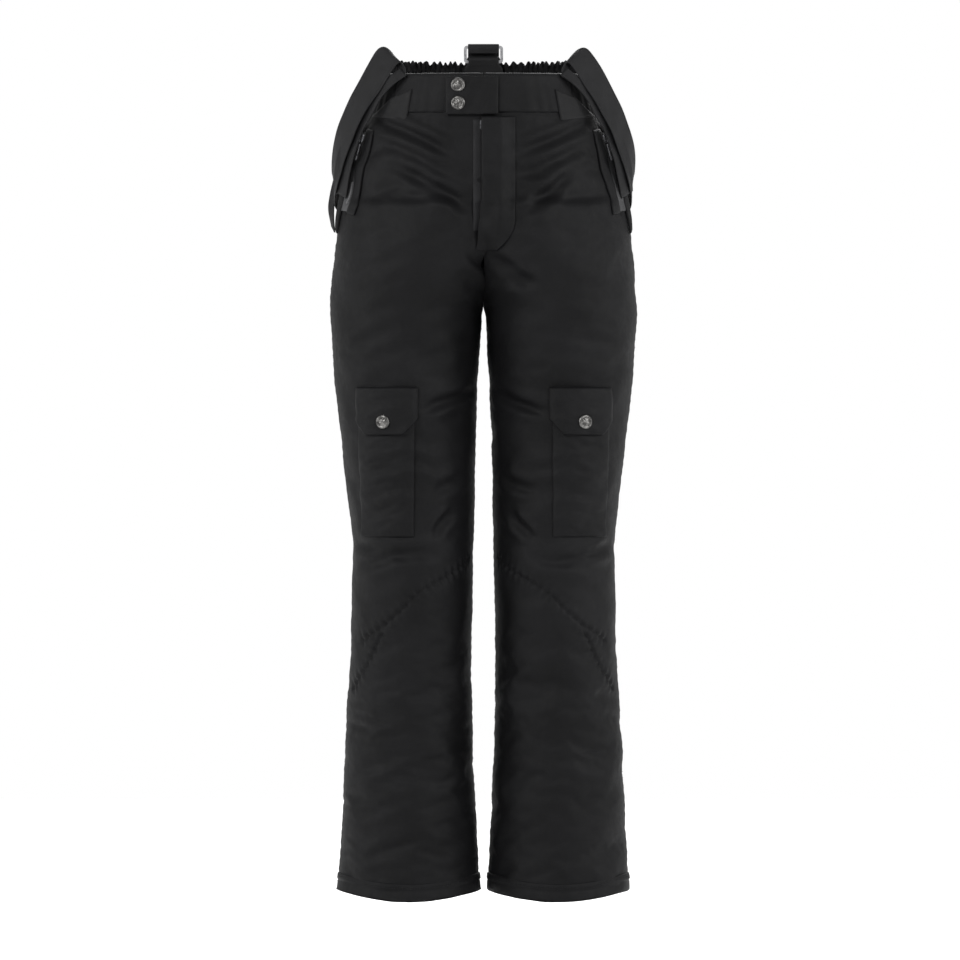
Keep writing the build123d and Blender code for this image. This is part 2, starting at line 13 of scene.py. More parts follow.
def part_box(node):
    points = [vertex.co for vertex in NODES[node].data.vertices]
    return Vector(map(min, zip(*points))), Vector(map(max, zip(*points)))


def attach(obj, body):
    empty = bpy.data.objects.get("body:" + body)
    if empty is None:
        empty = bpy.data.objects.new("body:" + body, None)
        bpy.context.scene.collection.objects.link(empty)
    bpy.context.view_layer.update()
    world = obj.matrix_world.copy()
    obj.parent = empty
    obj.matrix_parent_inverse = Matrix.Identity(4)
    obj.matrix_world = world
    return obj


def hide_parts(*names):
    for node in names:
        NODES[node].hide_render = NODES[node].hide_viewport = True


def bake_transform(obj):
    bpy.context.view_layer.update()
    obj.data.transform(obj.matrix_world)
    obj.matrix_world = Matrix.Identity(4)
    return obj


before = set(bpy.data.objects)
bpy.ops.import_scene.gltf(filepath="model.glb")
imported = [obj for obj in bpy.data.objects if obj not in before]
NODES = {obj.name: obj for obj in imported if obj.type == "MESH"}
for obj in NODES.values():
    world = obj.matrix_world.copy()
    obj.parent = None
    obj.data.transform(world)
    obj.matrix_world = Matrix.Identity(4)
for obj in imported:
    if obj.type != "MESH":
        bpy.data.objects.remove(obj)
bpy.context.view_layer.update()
SIDES = {"left": 1, "right": -1}
MM = 0.001
FRONT, BACK = -1, 1

# ---------------------------------------------------------------- places read from the frame
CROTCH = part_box("hip_sleeve_left")[1].z
THIGH_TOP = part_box("hip_sleeve_left")[0].z
THIGH_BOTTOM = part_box("knee_sleeve_left")[1].z
SHIN_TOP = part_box("knee_sleeve_left")[0].z
HEM_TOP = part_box("hem_left")[1].z
HEM_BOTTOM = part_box("hem_left")[0].z
BAND_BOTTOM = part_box("waistband_front_left")[0].z
BACK_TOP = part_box("waistband_back")[1].z
SPLIT_Z = (THIGH_TOP + THIGH_BOTTOM) / 2
SIDE_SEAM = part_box("front_panel_left")[1].y
UPPER_NODES = ["front_panel", "back_panel", "hip_sleeve", "thigh_front", "thigh_back"]
LOWER_NODES = ["knee_sleeve", "shin_front", "shin_back"]


def tree_of(*objects):
    """A search tree over the faces of several meshes."""
    verts, faces = [], []
    for obj in objects:
        start = len(verts)
        verts += [v.co.copy() for v in obj.data.vertices]
        faces += [[start + k for k in f.vertices] for f in obj.data.polygons]
    return BVHTree.FromPolygons(verts, faces)


SECTION_STEP = 0.008
FLY_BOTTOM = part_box("fly_flap")[0].z
POCKET_ZIP = ((0.147, -0.074), (0.172, -0.172))     # the hand pocket's zip, across and up
SEAM_X = 0.006              # the fly slit is nearer to the middle than this


def read_sections():
    """Centre x, half width, centre y and half depth of the left half at many heights."""
    tree = tree_of(*[NODES[f"{name}_left"] for name in UPPER_NODES + LOWER_NODES])

    def reach(start, direction):
        hit = tree.ray_cast(Vector(start), Vector(direction))[0]
        return hit if hit else Vector(start)

    rows = []
    count = int((BAND_BOTTOM - HEM_TOP) / SECTION_STEP)
    for z in np.linspace(HEM_TOP + 0.001, BAND_BOTTOM - 0.001, count):
        cx, cy = 0.08, 0.01
        for _ in range(5):
            beside = max(cx, SEAM_X)
            front = reach((beside, -1, z), (0, 1, 0)).y
            back = reach((beside, 1, z), (0, -1, 0)).y
            cy, depth = (front + back) / 2, (back - front) / 2
            outer = reach((1, cy, z), (-1, 0, 0)).x
            if z > CROTCH:
                seam = reach((SEAM_X, -1, z), (0, 1, 0)).y
                share = math.sqrt(max(0.0, 1 - min(1.0, (cy - seam) / depth) ** 2))
                half = (outer - SEAM_X) / (1 + share)
            else:
                half = (outer - reach((-1, cy, z), (1, 0, 0)).x) / 2
            cx = outer - half
        rows.append((z, cx, half, cy, depth))
    rows = np.array(rows)
    slope = (rows[8] - rows[0]) / (rows[8, 0] - rows[0, 0])
    hem = rows[0] + slope * (HEM_BOTTOM - rows[0, 0])
    band = [(z, 0, *span) for z, span in BAND_SPANS.items()]
    return np.vstack([hem, rows, band])


# The waistband's own section: half width, centre y and half depth at two heights.
BAND_SPANS = {
    -0.0001: (0.126, 0.0035, 0.0965),
    BACK_TOP: (0.124, 0.0035, 0.0955),
}
ROWS = read_sections()


def sections(z):
    """Centre x, half width, centre y and half depth of the left half at some heights."""
    return [np.interp(z, ROWS[:, 0], ROWS[:, k]) for k in range(1, 5)]


def section(z):
    return [float(value) for value in sections(z)]


def on_tube(side, angle, z, offset=0.0):
    """Points on one half's face grown by an offset, and the level directions out of it."""
    cx, a, cy, b = sections(z)
    a, b = a + offset, b + offset
    out = np.stack([np.cos(angle) / a, np.sin(angle) / b, np.zeros_like(z)], 1)
    out /= np.linalg.norm(out, axis=1, keepdims=True)
    points = np.stack([cx + a * np.cos(angle), cy + b * np.sin(angle), z], 1)
    points[:, 0] *= side
    out[:, 0] *= side
    return points, out


def face_angle(x, z, face):
    """The angle round the left half at a distance from the middle, on its front or back."""
    cx, a, _, _ = sections(z)
    return face * np.arccos(np.clip((x - cx) / a, -1, 1))


def seam_angle(z):
    """The angle of the side seam, where front and back panels meet."""
    _, _, cy, b = sections(z)
    return np.arcsin((SIDE_SEAM - cy) / b)


def on_face(x, z, face):
    """Points on the front or back at a place across, left of the middle where x is over 0."""
    x, z = np.asarray(x, float), np.asarray(z, float)
    side = np.where(x < 0, -1, 1)
    return on_tube(side, face_angle(np.abs(x), z, face), z)


# ---------------------------------------------------------------- small tools
def link(obj):
    bpy.context.scene.collection.objects.link(obj)
    return obj


def mesh_object(name, verts, faces, material=None, smooth=True):
    """A mesh object from points and faces."""
    mesh = bpy.data.meshes.new(name)
    mesh.from_pydata([tuple(v) for v in verts], [], [tuple(f) for f in faces])
    mesh.update()
    mesh.polygons.foreach_set("use_smooth", [smooth] * len(mesh.polygons))
    obj = link(bpy.data.objects.new(name, mesh))
    if material:
        mesh.materials.append(material)
    return obj


def vertex_rows(obj, key):
    """One vector for each vertex, such as its place (co) or its normal."""
    values = np.zeros(len(obj.data.vertices) * 3)
    obj.data.vertices.foreach_get(key, values)
    return values.reshape(-1, 3)


def coordinates(obj):
    return vertex_rows(obj, "co")


def set_coordinates(obj, co):
    obj.data.vertices.foreach_set("co", np.asarray(co, float).ravel())
    obj.data.update()


def normals(obj):
    return vertex_rows(obj, "normal")


@contextmanager
def edited(obj):
    """The object's mesh opened for editing, and written back when the block ends."""
    edit = bmesh.new()
    edit.from_mesh(obj.data)
    yield edit
    edit.to_mesh(obj.data)
    edit.free()


def apply_modifiers(obj):
    """Replace the object's mesh by what its modifiers make of it."""
    graph = bpy.context.evaluated_depsgraph_get()
    mesh = bpy.data.meshes.new_from_object(obj.evaluated_get(graph))
    obj.modifiers.clear()
    obj.data = mesh
    return obj


def modify(obj, kind, **values):
    """Add one modifier with its values and apply it."""
    modifier = obj.modifiers.new(kind.lower(), kind)
    for key, value in values.items():
        setattr(modifier, key, value)
    return apply_modifiers(obj)


def joined(name, objects):
    """Several meshes as one object."""
    bpy.ops.object.select_all(action="DESELECT")
    for obj in objects:
        obj.select_set(True)
    bpy.context.view_layer.objects.active = objects[0]
    if len(objects) > 1:
        bpy.ops.object.join()
    objects[0].name = name
    return objects[0]


def smoothstep(low, high, value):
    t = np.clip((value - low) / (high - low), 0, 1)
    return t * t * (3 - 2 * t)


def waves(seed, points, scale, octaves=3):
    """Smooth repeatable noise from sums of sines, about -1 to 1."""
    rng = np.random.default_rng(seed)
    total = np.zeros(len(points))
    for octave in range(octaves):
        for _ in range(6):
            direction = rng.normal(size=3)
            direction *= 2 * math.pi * 2 ** octave / scale / np.linalg.norm(direction)
            total += np.sin(points @ direction + rng.uniform(0, 6.28)) / 2 ** octave
    return total / 4


def spread(count, margin):
    """Places from 0 to 1 with two close lines at each end, and the thickness at each."""
    inner = np.linspace(margin, 1 - margin, count)
    places = np.concatenate([[0, margin * 0.3], inner, [1 - margin * 0.3, 1]])
    share = np.ones(len(places))
    share[[0, -1]] = 0.2
    share[[1, -2]] = 0.75
    return places, share


def blurred(grid, times):
    """A grid of numbers, each replaced by the mean of its neighbours a few times."""
    for _ in range(times):
        wide = np.pad(grid, 1, mode="edge")
        grid = (wide[:-2, 1:-1] + wide[2:, 1:-1] + wide[1:-1, :-2] + wide[1:-1, 2:] + grid) / 5
    return grid


DRAPE_REACH = 0.05


def heights_over(tree, points, outs, shape, soften):
    """How far along each outward direction the cloth below lies, evened out."""
    heights = np.full(len(points), np.nan)
    for k, (point, out) in enumerate(zip(points, outs)):
        hit = tree.ray_cast(Vector(point + out * DRAPE_REACH), Vector(-out), 2 * DRAPE_REACH)
        if hit[0]:
            heights[k] = DRAPE_REACH - hit[3]
    heights[np.isnan(heights)] = np.nanmedian(heights)
    grid = heights.reshape(shape)
    return np.maximum(blurred(grid, soften), grid).ravel()


def clean(obj):
    """Make the faces of a closed mesh look outwards."""
    with edited(obj) as edit:
        bmesh.ops.recalc_face_normals(edit, faces=edit.faces)
    return obj


def lay_uv(obj, u, v):
    """Texture places in metres, one for each vertex."""
    layer = obj.data.uv_layers.new(name="cloth")
    vertex = np.zeros(len(obj.data.loops), int)
    obj.data.loops.foreach_get("vertex_index", vertex)
    layer.data.foreach_set("uv", np.stack([u[vertex], v[vertex]], 1).ravel())


def slab(name, place, counts, thickness, material, lift=0.0, on=None, relief=None,
         margins=(0.04, 0.04), soften=6):
    """A sewn piece of cloth: a grid put in place, rounded at its edges and closed behind.

    on is a search tree that it lies on, and relief moves it out or in."""
    us, share_u = spread(counts[0], margins[0])
    vs, share_v = spread(counts[1], margins[1])
    u, v = [grid.ravel() for grid in np.meshgrid(us, vs)]
    share = np.outer(share_v, share_u).ravel()
    points, outs = place(u, v)
    base = np.full(len(u), lift)
    if on:
        base += heights_over(on, points, outs, (len(vs), len(us)), soften)
    if relief:
        base += relief(u, v) * share
    top = points + outs * (base + thickness * share)[:, None]
    bottom = points + outs * base[:, None]
    wide, high, total = len(us), len(vs), len(u)
    faces = []
    for i in range(high - 1):
        for j in range(wide - 1):
            a = i * wide + j
            quad = (a, a + 1, a + wide + 1, a + wide)
            faces.append(quad)
            faces.append(tuple(k + total for k in reversed(quad)))
    rim = list(range(wide)) + [i * wide + wide - 1 for i in range(1, high)]
    rim += [(high - 1) * wide + j for j in range(wide - 2, -1, -1)]
    rim += [i * wide for i in range(high - 2, 0, -1)]
    for a, b in zip(rim, rim[1:] + rim[:1]):
        faces.append((a, b, b + total, a + total))
    obj = mesh_object(name, np.vstack([top, bottom]), faces, material)
    grid = top.reshape(high, wide, 3)
    width = np.linalg.norm(np.diff(grid[high // 2], axis=0), axis=1).sum()
    height = np.linalg.norm(np.diff(grid[:, wide // 2], axis=0), axis=1).sum()
    lay_uv(obj, np.tile(u * width, 2), np.tile(v * height, 2))
    return clean(obj)


def curve_through(controls, per_span):
    """Points on a smooth curve through some points, given as an array."""
    controls = np.asarray(controls, float)
    ends = np.vstack([2 * controls[0] - controls[1], controls, 2 * controls[-1] - controls[-2]])
    rows = []
    for k in range(len(controls) - 1):
        p0, p1, p2, p3 = ends[k:k + 4]
        for t in np.linspace(0, 1, per_span, endpoint=False):
            rows.append(
                0.5 * (2 * p1 + (p2 - p0) * t + (2 * p0 - 5 * p1 + 4 * p2 - p3) * t ** 2
                       + (3 * p1 - p0 - 3 * p2 + p3) * t ** 3)
            )
    rows.append(controls[-1])
    return np.array(rows)


def tube_faces(count, around):
    """Faces through rings of points, with a cap at each end."""
    faces = []
    for i in range(count - 1):
        for j in range(around):
            a, b = i * around + j, i * around + (j + 1) % around
            faces.append((a, b, b + around, a + around))
    faces.append(tuple(range(around)))
    faces.append(tuple((count - 1) * around + k for k in range(around)))
    return faces


SPAN_POINTS = 8             # points along a strap for each pair of its edges


def ribbon(name, edges, thickness, material, across=8, ripple=0.0, seed=5):
    """Flat webbing whose two edges run through pairs of points."""
    edges = np.asarray(edges, float)
    first = curve_through(edges[:, 0], SPAN_POINTS)
    second = curve_through(edges[:, 1], SPAN_POINTS)
    along = np.gradient((first + second) / 2, axis=0)
    count = len(first)
    shares, share = spread(across, 0.04)
    square = np.cross(along, second - first)
    square /= np.linalg.norm(square, axis=1, keepdims=True)
    run = np.concatenate([[0], np.cumsum(np.linalg.norm(np.diff(first, axis=0), axis=1))])
    rows = []
    for side in (1, -1):
        for k, t in enumerate(shares):
            middle = first + (second - first) * t
            sway = ripple * waves(seed, middle, 0.07, 2)
            rows.append(middle + square * (sway + side * thickness / 2 * share[k])[:, None])
    wide = len(shares)
    order = list(range(wide)) + [2 * wide - 1 - k for k in range(wide)]
    ring = [rows[k] for k in order]
    points = np.stack(ring, 1).reshape(-1, 3)
    around = len(ring)
    obj = mesh_object(name, points, tube_faces(count, around), material)
    width = np.linalg.norm(second[0] - first[0])
    places = np.array([shares[k % wide] for k in order]) * width
    lay_uv(obj, np.tile(places, count), np.repeat(run, around))
    return clean(obj)


TURN_SEGMENTS = 48


def lathe(name, origin, axis, profile, material, relief=None):
    """A turned part: (radius, height) pairs from its middle out, then round to its back."""
    turn = Vector((0, 0, 1)).rotation_difference(Vector(axis)).to_matrix()
    verts = []
    for radius, height in profile:
        for k in range(TURN_SEGMENTS):
            angle = 2 * math.pi * k / TURN_SEGMENTS
            lift = relief(radius, angle) if relief else 0
            flat = Vector((radius * math.cos(angle), radius * math.sin(angle), height + lift))
            verts.append(Vector(origin) + turn @ flat)
    return clean(mesh_object(name, verts, tube_faces(len(profile), TURN_SEGMENTS), material))


def on_cloth(tree, points, spacing):
    """Even points along a line laid on the cloth, with the directions out of it."""
    points = np.asarray(points, float)
    run = np.concatenate([[0], np.cumsum(np.linalg.norm(np.diff(points, axis=0), axis=1))])
    steps = np.arange(0, run[-1], spacing)
    even = np.stack([np.interp(steps, run, points[:, k]) for k in range(3)], 1)
    places, outs = [], []
    for point in even:
        place, out, _, _ = tree.find_nearest(Vector(point))
        if out.dot(Vector(point) - place) < 0 and (Vector(point) - place).length > 0.0005:
            out = -out
        places.append(place)
        outs.append(out)
    return np.array(places), np.array(outs)


STITCH = (0.0022, 0.0005, 0.00045)      # length, width and height of one stitch
STITCH_SPACING = 0.0032


def stitches(name, places, outs, aside):
    """A row of raised stitches beside a line of points."""
    length, width, height = STITCH
    along = np.gradient(places, axis=0)
    along /= np.maximum(np.linalg.norm(along, axis=1, keepdims=True), 1e-9)
    across = np.cross(along, outs)
    across /= np.maximum(np.linalg.norm(across, axis=1, keepdims=True), 1e-9)
    middle = places + across * aside
    verts = np.stack([
        middle - along * length / 2,
        middle + along * length / 2,
        middle + across * width + outs * height * 0.2,
        middle - across * width + outs * height * 0.2,
        middle + outs * height,
        middle - outs * height,
    ], 1).reshape(-1, 3)
    shape = [(0, 2, 4), (0, 4, 3), (0, 3, 5), (0, 5, 2), (1, 4, 2), (1, 3, 4), (1, 5, 3), (1, 2, 5)]
    faces = [tuple(6 * k + c for c in face) for k in range(len(places)) for face in shape]
    obj = mesh_object(name, verts, faces, THREAD)
    lay_uv(obj, verts[:, 0], verts[:, 2])
    return obj


def sewn(name, tree, lines, aside=0.0):
    """Stitches along several lines laid on the cloth, as one piece."""
    rows = []
    for k, line in enumerate(lines):
        places, outs = on_cloth(tree, line, STITCH_SPACING)
        if len(places) > 2:
            rows.append(stitches(f"{name}_{k}", places, outs, aside))
    return joined(name, rows)


def dress(piece, body, slot, *nodes, fill=None):
    """Ride on a body and stand for nodes; slot and fill (the padding) are not used."""
    if isinstance(body, str):
        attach(piece, body)
    else:
        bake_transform(piece)
    if nodes:
        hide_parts(*nodes)
    return piece


# ---------------------------------------------------------------- materials
def shader(name, color, roughness, metallic=0.0, specular=0.5):
    """A material with a Principled node, its constants on the node's own sockets."""
    material = bpy.data.materials.new(name)
    material.use_nodes = True
    tree = material.node_tree
    node = tree.nodes["Principled BSDF"]
    node.inputs["Base Color"].default_value = (*color, 1)
    node.inputs["Roughness"].default_value = roughness
    node.inputs["Metallic"].default_value = metallic
    node.inputs["Specular IOR Level"].default_value = specular
    return material, tree, node


def textured(*args, **kwargs):
    """A shader with two kinds of texture place: along the cloth, and in the object."""
    material, tree, node = shader(*args, **kwargs)
    place = tree.nodes.new("ShaderNodeTexCoord")
    return material, tree, node, place.outputs["UV"], place.outputs["Object"]


def add_node(tree, kind, **inputs):
    node = tree.nodes.new(kind)
    for key, value in inputs.items():
        node.inputs[key.replace("_", " ")].default_value = value
    return node


def tint(tree, node, fac, color, dark, light):
    """Base colour running between two shares of a colour by a factor socket."""
    ramp = tree.nodes.new("ShaderNodeValToRGB")
    ramp.color_ramp.elements[0].color = (*[c * dark for c in color], 1)
    ramp.color_ramp.elements[1].color = (*[c * light for c in color], 1)
    ramp.color_ramp.elements[0].position = 0.3
    ramp.color_ramp.elements[1].position = 0.7
    tree.links.new(fac, ramp.inputs["Fac"])
    tree.links.new(ramp.outputs["Color"], node.inputs["Base Color"])


def roughen(tree, node, fac, low, high):
    stretch = add_node(tree, "ShaderNodeMapRange", To_Min=low, To_Max=high)
    tree.links.new(fac, stretch.inputs["Value"])
    tree.links.new(stretch.outputs["Result"], node.inputs["Roughness"])


def bump(tree, node, heights):
    """Bumps in a row, each (height socket, strength, distance in metres)."""
    last = None
    for height, strength, distance in heights:
        this = add_node(tree, "ShaderNodeBump", Strength=strength, Distance=distance)
        tree.links.new(height, this.inputs["Height"])
        if last:
            tree.links.new(last.outputs["Normal"], this.inputs["Normal"])
        last = this
    tree.links.new(last.outputs["Normal"], node.inputs["Normal"])


def product(tree, first, second):
    """The product of two sockets."""
    both = tree.nodes.new("ShaderNodeMath")
    both.operation = "MULTIPLY"
    tree.links.new(first, both.inputs[0])
    tree.links.new(second, both.inputs[1])
    return both.outputs[0]


WAVE_PERIOD = 0.314         # a wave texture's period in metres at a scale of 1


def weave(tree, source, size):
    """A plain weave: crossed threads of the given size in metres."""
    threads = []
    for direction in ("X", "Y"):
        wave = add_node(tree, "ShaderNodeTexWave", Scale=WAVE_PERIOD / size, Distortion=0.6)
        wave.bands_direction = direction
        tree.links.new(source, wave.inputs["Vector"])
        threads.append(wave.outputs["Fac"])
    return product(tree, *threads)


def noise_texture(tree, source, scale, detail=4.0):
    texture = add_node(tree, "ShaderNodeTexNoise", Scale=scale, Detail=detail)
    tree.links.new(source, texture.inputs["Vector"])
    return texture.outputs["Fac"]


def fabric(name, color, thread=0.0009, roughness=0.58, crinkle=0.35):
    """Woven nylon: threads, fine crinkles, uneven shade and wear."""
    material, tree, node, along, place = textured(name, color, roughness, specular=0.06)
    threads = weave(tree, along, thread)
    crinkles = noise_texture(tree, place, 120.0, 6.0)
    creases = noise_texture(tree, place, 38.0, 3.0)
    patches = noise_texture(tree, place, 14.0, 5.0)
    tint(tree, node, patches, color, 0.7, 1.4)
    roughen(tree, node, crinkles, roughness - 0.08, roughness + 0.12)
    bump(tree, node, [(threads, 0.3, 0.0003), (crinkles, crinkle, 0.0009), (creases, 0.25, 0.003)])
    return material


def ribbed(name, color, rib=0.0012):
    """Elastic webbing: ribs along the strap, crossed by fine weft."""
    material, tree, node, along, place = textured(name, color, 0.6, specular=0.08)
    ribs = weave(tree, along, rib)
    patches = noise_texture(tree, place, 60.0)
    tint(tree, node, patches, color, 0.8, 1.25)
    bump(tree, node, [(ribs, 0.6, 0.0005), (patches, 0.2, 0.001)])
    return material


def metal(name, color, roughness=0.35):
    """Antiqued metal: dark in the hollows, worn bright on the edges, fine scratches."""
    material, tree, node, _, place = textured(name, color, roughness, metallic=1.0)
    scratches = noise_texture(tree, place, 900.0, 2.0)
    patina = noise_texture(tree, place, 260.0, 6.0)
    worn = tree.nodes.new("ShaderNodeNewGeometry")
    stretch = add_node(tree, "ShaderNodeMapRange", From_Min=0.12, From_Max=0.42)
    tree.links.new(product(tree, worn.outputs["Pointiness"], patina), stretch.inputs["Value"])
    tint(tree, node, stretch.outputs["Result"], color, 0.35, 1.0)
    roughen(tree, node, scratches, roughness - 0.08, roughness + 0.15)
    bump(tree, node, [(scratches, 0.15, 0.0002)])
    return material


PLASTIC_ROUGHNESS = 0.45


def plastic(name, color):
    """Moulded plastic with a fine grain."""
    material, tree, node, _, place = textured(name, color, PLASTIC_ROUGHNESS)
    grain = noise_texture(tree, place, 700.0, 3.0)
    tint(tree, node, grain, color, 0.8, 1.2)
    roughen(tree, node, grain, PLASTIC_ROUGHNESS - 0.1, PLASTIC_ROUGHNESS + 0.1)
    bump(tree, node, [(grain, 0.12, 0.0002)])
    return material


SHELL = fabric("shell_cloth", (0.0019, 0.0019, 0.0021))
LINING = fabric("lining_cloth", (0.003, 0.003, 0.0034), thread=0.0006, roughness=0.5, crinkle=0.5)
BAND = fabric("band_cloth", (0.0021, 0.0021, 0.0023))
TRIM = fabric("trim_cloth", (0.0035, 0.0035, 0.0037), roughness=0.5)
# The gathered back band's colour is darker than the front band's: painted shade for the inside of the
# back waistband.
ELASTIC_PAINTED_SHADE = fabric("gathered_cloth_painted_shade", (0.0015, 0.0015, 0.0017))
WEBBING = ribbed("brace_webbing", (0.0040, 0.0040, 0.0043))
TAPE = ribbed("zip_tape", (0.006, 0.006, 0.0065), rib=0.0006)
POCKET_TAPE = ribbed("pocket_zip_tape", (0.026, 0.026, 0.027), rib=0.0006)
THREAD = ribbed("sewing_thread", (0.0045, 0.0045, 0.005), rib=0.0003)
TEETH = plastic("zip_teeth", (0.05, 0.05, 0.052))
SLIDER = metal("zip_slider", (0.08, 0.08, 0.085), 0.4)
SNAP = metal("snap_metal", (0.09, 0.088, 0.085), 0.32)
RING = metal("ring_metal", (0.30, 0.30, 0.31), 0.3)
BUCKLE = plastic("buckle_plastic", (0.008, 0.008, 0.009))

# ---------------------------------------------------------------- camera, lights, floor
PHOTO_WIDTH = 1.2           # metres across the frame at the trousers' middle
CAMERA_DISTANCE = 30.0      # far off, so that the perspective is slight
SENSOR_WIDTH = 36.0         # millimetres
camera_data = bpy.data.cameras.new("camera")
camera_data.sensor_width = SENSOR_WIDTH
camera_data.lens = SENSOR_WIDTH * CAMERA_DISTANCE / PHOTO_WIDTH
camera = link(bpy.data.objects.new("camera", camera_data))
camera.location = (-0.0044, -CAMERA_DISTANCE, -0.5075)
camera.rotation_euler = (math.radians(90), 0, 0)
bpy.context.scene.camera = camera


def area_light(name, place, target, size, power):
    data = bpy.data.lights.new(name, "AREA")
    data.shape = "RECTANGLE"
    data.size, data.size_y = size
    data.energy = power
    lamp = link(bpy.data.objects.new(name, data))
    lamp.location = place
    lamp.rotation_euler = (Vector(target) - Vector(place)).to_track_quat("-Z", "Y").to_euler()


MIDDLE = (0, 0, -0.5)
area_light("key", (-1.9, -2.4, 1.5), MIDDLE, (1.0, 1.0), 120)
area_light("fill", (2.1, -2.3, 1.2), MIDDLE, (1.0, 1.0), 105)
area_light("side_left", (-3.0, -0.4, 0.2), MIDDLE, (0.8, 2.2), 70)
area_light("side_right", (3.0, -0.4, 0.3), MIDDLE, (0.8, 2.2), 70)
area_light("back", (0.5, 3.0, 1.6), MIDDLE, (2.0, 2.0), 90)
bpy.context.scene.view_settings.view_transform = "Standard"

world = bpy.data.worlds.new("studio")
world.use_nodes = True
world.node_tree.nodes["Background"].inputs["Color"].default_value = (1, 1, 1, 1)
world.node_tree.nodes["Background"].inputs["Strength"].default_value = 1.0
bpy.context.scene.world = world

FLOOR_Z = HEM_BOTTOM - 0.06
floor_material, _, floor_node = shader("floor_paint", (0.9, 0.9, 0.9), 0.8)
floor_node.inputs["Emission Color"].default_value = (1, 1, 1, 1)
floor_node.inputs["Emission Strength"].default_value = 0.35
REACH = 14.0                # half the floor's width
floor = mesh_object(
    "floor",
    [(x * REACH, y * REACH, FLOOR_Z) for x, y in ((-1, -1), (1, -1), (1, 1), (-1, 1))],
    [(0, 1, 2, 3)],
    floor_material,
)

# ---------------------------------------------------------------- the shell
COLUMNS = 116
ROW_STEP = 0.005
HEM_RISE = 0.014            # the hem's sides hang higher than its front and back

# Folds pressed into the cloth before it is simulated, each from (x, z) to (x, z) on the
# front of one side, in millimetres, then its width and depth.
FOLDS = {
    "right": [
        (-140, -58, -42, -101, 6, 6), (-130, -86, -34, -136, 7, 4), (-116, -113, -18, -172, 7, 6),
        (-74, -420, -9, -400, 6, 5), (-112, -477, -60, -492, 6, 3), (-62, -522, -26, -506, 6, 4),
        (-63, -576, -36, -546, 5, 5), (-136, -518, -92, -514, 6, 3), (-141, -545, -97, -546, 5, 3),
        (-158, -588, -96, -600, 6, 4), (-150, -612, -60, -596, 7, 4), (-20, -225, 20, -262, 7, 5),
    ],
    "left": [
        (140, -58, 42, -98, 6, 5), (128, -88, 40, -132, 7, 4), (112, -118, 46, -176, 7, 5),
        (80, -424, 12, -396, 6, 5), (112, -480, 64, -494, 6, 3), (64, -520, 24, -502, 6, 4),
        (66, -580, 34, -548, 5, 5), (134, -520, 96, -516, 6, 3), (158, -590, 96, -604, 6, 4),
        (148, -614, 60, -598, 7, 4), (10, -230, 62, -272, 7, 5), (18, -262, 70, -262, 6, 4),
    ],
}


def half_grid(side):
    """Points of one half's cloth: rows down from the waistband, columns round the leg."""
    sign = SIDES[side]
    top, bottom = BAND_BOTTOM + 0.006, HEM_BOTTOM
    count = int((top - bottom) / ROW_STEP) + 1
    levels = np.linspace(top, bottom, count)
    u = np.linspace(0, 1, COLUMNS + 1)
    points = np.zeros((count, COLUMNS + 1, 3))
    outs = np.zeros_like(points)
    for i, z in enumerate(levels):
        cx, a, cy, b = section(z)
        gap = math.acos(min(1.0, max(-1.0, cx / a))) if cx < a else 0.0
        if z > CROTCH and cx < a:
            angle = -(math.pi - gap) + u * 2 * (math.pi - gap)
        else:
            angle = -math.pi + u * 2 * math.pi
        x = cx + a * np.cos(angle)
        y = cy + b * np.sin(angle)
        rise = HEM_RISE * np.cos(angle) ** 2 * smoothstep(0.12, 0.0, z - HEM_BOTTOM)
        points[i] = np.stack([x, y, np.full_like(x, z) + rise], 1)
        out = np.stack([np.cos(angle) / a, np.sin(angle) / b, np.zeros_like(x)], 1)
        outs[i] = out / np.linalg.norm(out, axis=1, keepdims=True)
    points[:, :, 0] *= sign
    outs[:, :, 0] *= sign
    return levels, points, outs


def press_folds(points, outs, folds):
    """Push the cloth in along folds on the front, with a soft ridge beside each."""
    flat = points.reshape(-1, 3)
    out = outs.reshape(-1, 3)
    facing = smoothstep(0.05, 0.4, FRONT * out[:, 1])
    move = np.zeros(len(flat))
    for x0, z0, x1, z1, width, depth in folds:
        start, end = np.array([x0, z0]) * MM, np.array([x1, z1]) * MM
        run = end - start
        length = np.linalg.norm(run)
        run /= length
        offset = flat[:, [0, 2]] - start
        along = offset @ run / length
        across = (offset[:, 0] * run[1] - offset[:, 1] * run[0]) / (width * MM)
        across = across + 0.5 * np.sin(along * 3.0)
        fade = smoothstep(-0.1, 0.25, along) * smoothstep(1.1, 0.75, along)
        valley = -np.exp(-(across ** 2)) + 0.7 * np.exp(-((np.abs(across) - 2.0) ** 2))
        move += facing * fade * valley * depth * MM
    return (flat + out * move[:, None]).reshape(points.shape)


CLOTH_GIRTH = 0.56          # the cloth round one leg, which sets the weave's scale
SIDE_CALM = 0.3             # share of the waves left at the outseam and inseam


